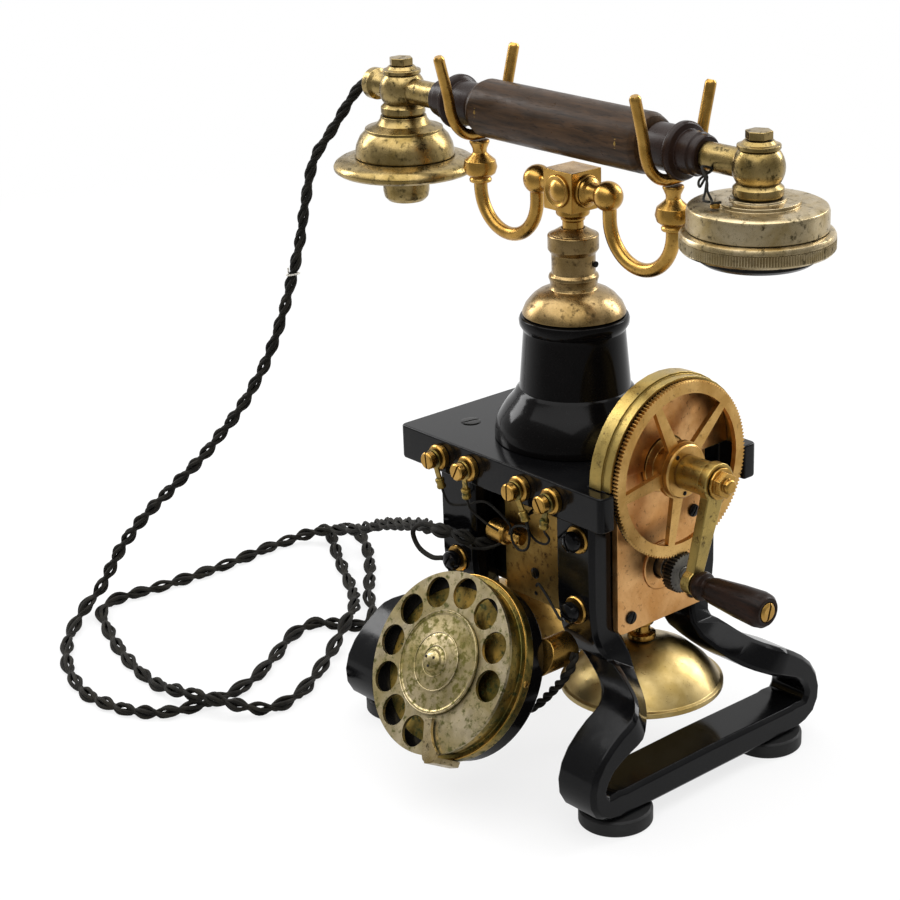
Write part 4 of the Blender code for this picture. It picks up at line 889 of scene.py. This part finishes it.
def screw(name, at, axis, radius, rise, slot="ebonite", body="base", turn=0.5, dome=0.5):
    """A slotted screw head standing on a face; dome is how much of its height is rounded."""
    at = Vector(at)
    rim = rise * (1 - dome)
    profile = [(0, -0.4), (radius, -0.4), (radius, rim)]
    profile += [(radius * cos(pi / 2 * k / 6), rim + rise * dome * sin(pi / 2 * k / 6))
                for k in range(1, 6)]
    profile += [(0, rise)]
    head = lathe(name, profile, at, axis, 40)
    half = (radius * 1.2, radius * 0.12 + 0.08, rise * 0.45)
    return shown(carved(head, [block("slot", half, at + Vector(axis) * rise, axis, turn)]), body, slot)


def body_screws():
    """The screws of the side plates, the legs, the top plate, the column's cap and the front panel."""
    right = high("magneto_plate_right").x
    left = low("magneto_plate_left").x
    for i, (y, z) in enumerate(((-18.5, 76.8), (18.5, 76.8), (-19, 114.4), (19, 114.4))):
        screw(f"plate_screw_right_{i}", (right, y, z), X, 2.8, 1.3, turn=0.3 + i)
        screw(f"plate_screw_left_{i}", (left, y, z), -X, 2.8, 1.3, turn=0.8 + i)
    washer = [(0, 0), (6.1, 0), (6.1, 0.7), (5.6, 1.3), (0, 1.3)]
    bolt = [(0, 1.0), (3.2, 1.0), (3.2, 2.2), (4.4, 2.6), (4.6, 4.2), (4.0, 5.8), (2.4, 6.8), (0, 7.1)]
    for i, (x, z, turn) in enumerate(((-37.0, 82.4, 0.2), (40.0, 114.6, 1.2), (38.6, 82.4, 2.0))):
        at = (x, LEG_FACE_Y, z)
        shown(lathe(f"leg_washer_{i}", washer, at, FRONT, 48), "base", "gold_brass")
        head = lathe(f"leg_screw_{i}", bolt, at, FRONT, 40)
        groove = block("slot", (6, 0.5, 1.2), Vector(at) + FRONT * 7.1, FRONT, turn)
        shown(carved(head, [groove]), "base", "ebonite", "black_japan")
    top = high("top_plate").z
    for i, (x, y) in enumerate(((-42.8, -22.7), (-42.8, 22.7), (42.8, -22.7), (42.8, 22.7))):
        screw(f"top_screw_{i}", (x, y, top), Z, 4.3, 0.45, turn=0.6 + i, dome=0.3)
    screw("neck_screw", (9.3, 4.0, high("column_cap").z - 15), X, 1.3, 0.5, turn=0.4)
    panel = low("front_panel").y
    screw("panel_screw", (0, panel, 83), FRONT, 2.5, 0.5, turn=0.9)
    screw("panel_stud", (0.3, panel, 73.5), FRONT, 0.9, 0.3, turn=0.2)


def moving_screws():
    """The screws of the crank's hub, the grip's pins, the transmitter's screw and the dial's."""
    for i, turn in enumerate((2.2, -1.7)):
        at = CRANK_AXLE + X * 66 + polar(Y, Z, turn) * 9.3
        screw(f"hub_screw_{i}", at, X, 0.95, 0.5, body="crank")
    pin = [(0, -0.4), (2.0, -0.4), (2.0, 0.1), (0, 0.3)]
    for i, side in enumerate((-43, 41)):
        out = polar(FRONT, Z, 0.05)
        at = Vector((centre("handset_grip").x + side, 0, GRIP_Z)) + out * GRIP_RADIUS
        shown(lathe(f"grip_pin_{i}", pin, at, out, 32), "handset", "gold_brass", "dark_brass_and_shade")
    ear = Vector((centre("transmitter_case").x, 0, high("transmitter_case").z - 1.2))
    screw("case_screw", ear + Vector((-5, -18.5, 0)), Z, 1.9, 1.5, "gold_brass", "handset")
    dot = [(0, -0.4), (0.6, -0.4), (0.6, 0.2), (0, 0.22)]
    for k in range(3):
        at = DIAL_AT + polar(X, DIAL_UP, radians(160 + 120 * k)) * 2.5 + DIAL_OUT * 6.1
        shown(lathe(f"dial_dot_{k}", dot, at, DIAL_OUT, 16), "finger_wheel", "ebonite", None, 0)
    out = polar(X, DIAL_UP, 0.15)
    screw("dial_screw", DIAL_AT + out * 39.2 - DIAL_OUT * 12, out, 1.6, 1.2, "gold_brass")


def bead(radius, height, wide, tall):
    """The rounded section of a thin ring."""
    turns = [TAU * k / 10 for k in range(10)]
    return [(radius + wide * cos(t), height + tall * sin(t)) for t in turns]


def dial_rings():
    """Raised lines round the dial's centre disc."""
    for i, (radius, height) in enumerate(((21.9, 1.25), (12.4, 2.1), (6.6, 3.0))):
        line = lathe(f"dial_line_{i}", bead(radius, height, 0.35, 0.35), DIAL_AT, DIAL_OUT, 96, True)
        shown(line, "finger_wheel", "dull_brass", "dial_brass", 0)


def trims():
    """The drum's skirt, black cup and bright lip, a black ring behind the gear's teeth that paints shade into the
    tooth gaps, the armature's bush and the hub.
    """
    skirt = [(37.9, -1.9), (38.2, -1.9), (38.2, -5.8), (37.9, -5.8)]
    shown(lathe("dial_skirt", skirt, DIAL_AT, DIAL_OUT, 96, True), "base", "dull_brass", "case_brass")
    cup = [(37.6, -1.9), (37.86, -1.9), (37.86, -4.9), (33.4, -4.9), (33.4, -4.6), (37.6, -4.6)]
    shown(lathe("dial_cup", cup, DIAL_AT, DIAL_OUT, 96, True), "base", "ebonite", None, 0)
    lip = bead(39.5, -9.75, 0.4, 0.3)
    shown(lathe("dial_lip", lip, DIAL_AT, DIAL_OUT, 96, True), "base", "dull_brass", "gold_brass", 0)
    # A black ring just behind the gear's teeth: painted shade seen through the gaps between them.
    gap_shade_ring = [(34.4, 60.2), (37.6, 60.2), (37.6, 60.65), (34.4, 60.65)]
    shown(lathe("tooth_gap_shade", gap_shade_ring, CRANK_AXLE, X, 96, True), "base", "ebonite")
    bush = [(5.6, 49.5), (10.9, 49.5), (10.9, 52.2), (10.2, 52.6), (6.2, 52.6), (5.6, 52.0)]
    axle = centre("armature")
    shown(lathe("armature_bush", bush, (0, axle.y, axle.z), X, 64, True), "base", "copper_brass")
    half = ring_points(37.5, 48, (0, 0), 0.012, pi - 0.012)
    half += ring_points(12.5, 24, (0, 0), 0, pi)[::-1]
    facing = plate("guard_facing", half, [], 53.2, 53.6, CRANK_AXLE + Z * 0.2, (Y, Z, X))
    shown(facing, "base", "copper_brass")
    hub = [(0, 79.3), (6.85, 79.3), (7.25, 78.8), (7.25, 66.3), (0, 66.3)]
    shown(lathe("hub_barrel", hub, CRANK_AXLE, X, 64), "crank", "copper_brass", "olive_brass")
    flange = [(0, 66.1), (10.9, 66.1), (11.55, 65.45), (11.55, 63.2), (0, 63.2)]
    shown(lathe("hub_flange", flange, CRANK_AXLE, X, 64), "crank", "copper_brass", "gear_brass")


def stop_piece():
    """The finger stop: a horn that curves in over the holes from a rounded foot."""
    ways = (polar(X, DIAL_UP, STOP_TURN), polar(DIAL_UP, -X, STOP_TURN), DIAL_OUT)
    inner = ring_points(15.2, 17, (27.8, 15.2), radians(-105), radians(-45))
    outer = [(40.4, 3.6), (41.5, 2.8), (42.2, 1.2), (42.4, -0.6), (42.0, -2.3), (41.0, -3.5), (39.4, -4.0),
             (37.0, -4.1), (33.5, -4.0), (28.5, -4.0), (24.6, -4.2), (23.7, -3.3)]
    horn = plate("horn", inner + outer, [], 0.75, 2.25, DIAL_AT, ways)
    band = ring_points(40.35, 9, (0, 0), -0.085, 0.085) + ring_points(42.6, 9, (0, 0), -0.06, 0.06)[::-1]
    foot = plate("foot", band, [], -13.5, 2.0, DIAL_AT, ways)
    assembled("finger_stop", [horn, foot], 0.5)


def wire(name, route, radius=0.55, body="base"):
    return shown(sweep(name, smooth_path(route, 1.0), radius, 10), body, "cord_cloth", None, 0)


def lug(name, top, foot):
    """A spade lug: an eye round the terminal's neck, a shank and a crimped barrel."""
    down = (foot - top).normalized()
    side = FRONT.cross(down)
    ways = (side, down, side.cross(down))
    outline = ring_points(4.3, 20, (0, 0), radians(-250), radians(70))
    outline += [(1.5, 7.0), (1.5, 10.5), (-1.5, 10.5), (-1.5, 7.0)]
    eye = plate("eye", outline, [ring_points(2.7, 24)], -0.45, 0.45, top, ways)
    crimp = [(0, 9.5), (1.9, 9.5), (2.1, 10.2), (1.7, 11.8), (2.1, 13.2), (1.8, 14), (0, 14)]
    eye_and_crimp = joined(name, [eye, lathe("crimp", crimp, top, down, 24)])
    return shown(eye_and_crimp, "base", "gold_brass", "case_brass", 0.15)


def lugs_and_wires():
    """The lugs under the terminals' heads, their wires, and the three loose wires of the legs."""
    face = low("top_plate").y - 4.1
    feet = []
    for number, lean in ((1, 0.12), (2, -0.08), (3, 0.30), (4, -0.32)):
        at = centre(f"terminal_{number}")
        top = Vector((at.x, face, at.z))
        foot = top + Vector((sin(lean), 0.18, -cos(lean))) * 14
        lug(f"lug_{number}", top, foot)
        feet.append(foot)
    a, b, c, d = feet
    wire("wire_1", [a, a + Vector((0.5, 0.6, -3)), (-31, -46, 112.5), (-24, -43, 113.2), (-12, -42.5, 117.8),
                    (-3, -42.5, 115.5), (1, -40, 110), (-3, -37, 104)])
    wire("wire_2", [b, b + Vector((0.2, 0.6, -3)), (-18, -45, 113), (-13, -42, 108), (-9, -38, 104)])
    wire("wire_3", [c, c + Vector((0.4, 0.5, -3)), (12, -43, 114), (4, -41, 110), (2, -40, 104),
                    (6, -40, 100.5), (11.5, -40, 102.5), (12, -39, 108), (8, -37, 112), (4, -33, 113),
                    (1, -27, 112)])
    wire("wire_4", [d, d + Vector((-0.6, 0.9, -2)), (26.5, -41, 111.5), (22, -39, 107.5), (14, -37.5, 106.5),
                    (9, -37, 110), (6, -34, 114), (3, -28, 115)])
    wire("wire_5", [(38.6, -41.2, 80), (34, -41.5, 77.5), (26, -38, 78), (16, -33, 79.5), (6, -29, 81),
                    (2, -26.5, 78)], 0.6)
    wire("wire_6", [(-33, -43, 96), (-44, -43.5, 97), (-55, -43.5, 95), (-60.5, -43.5, 89.5),
                    (-57, -43.5, 83.5), (-48, -43, 81), (-41.5, -41.5, 82), (-37.5, -40.4, 80),
                    (-33.5, -40.8, 83), (-37, -40.8, 86)], 1.15)
    wire("wire_7", [(-30, -42, 95), (-24, -41, 92.5), (-18, -38, 93), (-12, -34, 96), (-10, -31, 99)], 0.6)


DIAL_CORD_TWIST = 9.5


def dial_cord():
    """The short twisted cord from the lower screw of the right leg to the back of the dial."""
    path = smooth_path([(39.5, -39.5, 63), (40, -42, 58), (38, -44.5, 53), (32, -46, 45), (24, -49, 36),
                        (16, -55, 32), (11, -61, 36)], 0.8)
    for k in range(2):
        run = 0.0
        line = []
        for i, (point, _, normal, side) in enumerate(frames(path)):
            run += (path[i] - path[i - 1]).length if i else 0
            line.append(point + polar(normal, side, TAU * run / DIAL_CORD_TWIST + k * pi))
        shown(sweep(f"dial_cord_{k}", line, 1.05, 10), "base", "cord_cloth", None, 0)


def transmitter_wires():
    """Two thin wires from the end of the grip to the screw on the transmitter."""
    x = centre("transmitter_case").x
    z = high("transmitter_case").z
    head = Vector((x - 5, -18.5, z))
    wire("hand_wire_1", [(x - 19, -4.4, GRIP_Z - 3), (x - 20, -9, GRIP_Z - 1.5), (x - 16, -14, GRIP_Z - 1),
                         (x - 11, -16.5, GRIP_Z - 5), (x - 9.5, -18, z + 4), head + Vector((-2.2, 0.5, 0.7)),
                         head + Vector((1, -2.4, 0.7)), head + Vector((2.3, 0.8, 0.7))], 0.5, "handset")
    wire("hand_wire_2", [(x - 20.5, -3.8, GRIP_Z - 4), (x - 22, -9, GRIP_Z - 7), (x - 17, -14, GRIP_Z - 8),
                         (x - 13, -14.5, GRIP_Z - 3), (x - 11.5, -17, z + 3), (x - 9, -20.5, z + 0.8),
                         head + Vector((-0.5, -2.6, 0.9))], 0.5, "handset")


THREAD_Z = 182
THREAD_LOOP = 3.1
HANGING_POINTS = 260


def thread():
    """A white thread tied round the hanging cord."""
    path = smooth_path(CORD_ROUTE, CORD_STEP)
    index = min(range(HANGING_POINTS), key=lambda i: abs(path[i].z - THREAD_Z))
    point, tangent, normal, side = frames(path)[index]
    tilted = (normal + tangent * 0.5).normalized()
    loop = [point + polar(tilted, side, k * 0.26) * THREAD_LOOP for k in range(27)]
    loop += [loop[-1] + Vector((1.2, -1.6, 1.4)), loop[-1] + Vector((1.6, -2.0, 3.6))]
    obj = sweep("thread", loop, 0.42)
    obj.data.materials.append(FINISH["thread"])
    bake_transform(obj)


# ---------- studio

OPEN_SIDE = (0.73, -0.68, 0.0)
PAPER_WHITE = 0.86
FILL_LEVEL = 0.42


def open_side(tree, way):
    """How far a direction or a place lies on the open side of the room."""
    dot = node(tree, "ShaderNodeVectorMath", {0: way, 1: OPEN_SIDE}, operation="DOT_PRODUCT")
    return dot.outputs["Value"]


def rays(tree):
    """The rays that look straight at a surface, and the ones that are mirrored."""
    path = node(tree, "ShaderNodeLightPath").outputs
    return maths(tree, "MAXIMUM", path["Is Camera Ray"], path["Is Transmission Ray"]), path["Is Glossy Ray"]


def floor():
    """Pale paper that keeps the shadow, white where it is seen and dimmer in reflections on the open side."""
    work = bmesh.new()
    bmesh.ops.create_grid(work, x_segments=2, y_segments=2, size=12.0)
    obj = made_object("floor", work)
    made = bpy.data.materials.new("floor_finish")
    made.use_nodes = True
    tree = made.node_tree
    tree.nodes.clear()
    where = node(tree, "ShaderNodeTexCoord").outputs["Object"]
    far = node(tree, "ShaderNodeVectorMath", {0: where}, operation="LENGTH").outputs["Value"]
    direct, glossy = rays(tree)
    mirrored = maths(tree, "MULTIPLY", glossy, span(tree, open_side(tree, where), -0.25, 0.35, 1.0, 0.35))
    strength = maths(tree, "MAXIMUM", direct, mirrored)
    paper = node(tree, "ShaderNodeBsdfDiffuse", {"Color": rgb((PAPER_WHITE, PAPER_WHITE, PAPER_WHITE))})
    glow = node(tree, "ShaderNodeEmission", {"Color": rgb((1, 1, 1)), "Strength": strength})
    seen = maths(tree, "MAXIMUM", direct, glossy)
    share = maths(tree, "MULTIPLY", seen, span(tree, far, 0.3, 1.1, 0.78, 1.0))
    mix = node(tree, "ShaderNodeMixShader", {0: share, 1: paper.outputs[0], 2: glow.outputs[0]})
    node(tree, "ShaderNodeOutputMaterial", {"Surface": mix.outputs[0]})
    obj.data.materials.append(made)


def lamp(name, at, size, power):
    """A soft rectangular lamp turned towards the middle of the telephone."""
    data = bpy.data.lights.new(name, "AREA")
    data.shape = "RECTANGLE"
    data.size, data.size_y = size
    data.energy = power
    aim = (Vector((0, 0, 0.15)) - Vector(at)).to_track_quat("-Z", "Y")
    linked(name, data).matrix_world = Matrix.Translation(Vector(at)) @ aim.to_matrix().to_4x4()


def sky():
    """White where it is seen, a plain level where it lights, dimmer in reflections on the open side."""
    world = bpy.data.worlds.new("studio")
    bpy.context.scene.world = world
    world.use_nodes = True
    tree = world.node_tree
    tree.nodes.clear()
    way = node(tree, "ShaderNodeTexCoord").outputs["Generated"]
    rise = node(tree, "ShaderNodeSeparateXYZ", {"Vector": way}).outputs["Z"]
    level = span(tree, open_side(tree, way), -0.75, 0.15, 1.0, 0.3)
    room = maths(tree, "MAXIMUM", level, span(tree, rise, 0.45, 0.85, 0.3, 1.0))
    direct, glossy = rays(tree)
    mirrored = maths(tree, "MULTIPLY", glossy, room)
    plain = maths(tree, "MULTIPLY", maths(tree, "SUBTRACT", 1.0, glossy), FILL_LEVEL)
    strength = maths(tree, "MAXIMUM", maths(tree, "MAXIMUM", direct, mirrored), plain)
    light = node(tree, "ShaderNodeBackground", {"Color": rgb((1, 1, 1)), "Strength": strength})
    node(tree, "ShaderNodeOutputWorld", {"Surface": light.outputs[0]})


def studio():
    floor()
    sky()
    lamp("over", (0.0, -0.2, 1.6), (2.4, 2.4), 36)
    lamp("left", (-1.5, -0.45, 0.95), (0.5, 0.9), 14)
    lamp("right", (0.35, 1.5, 0.95), (0.5, 0.9), 14)
    bpy.context.scene.view_settings.view_transform = "Standard"


camera()
studio()
cord()
dressed_nodes()
body_screws()
moving_screws()
dial_rings()
trims()
lugs_and_wires()
dial_cord()
transmitter_wires()
thread()
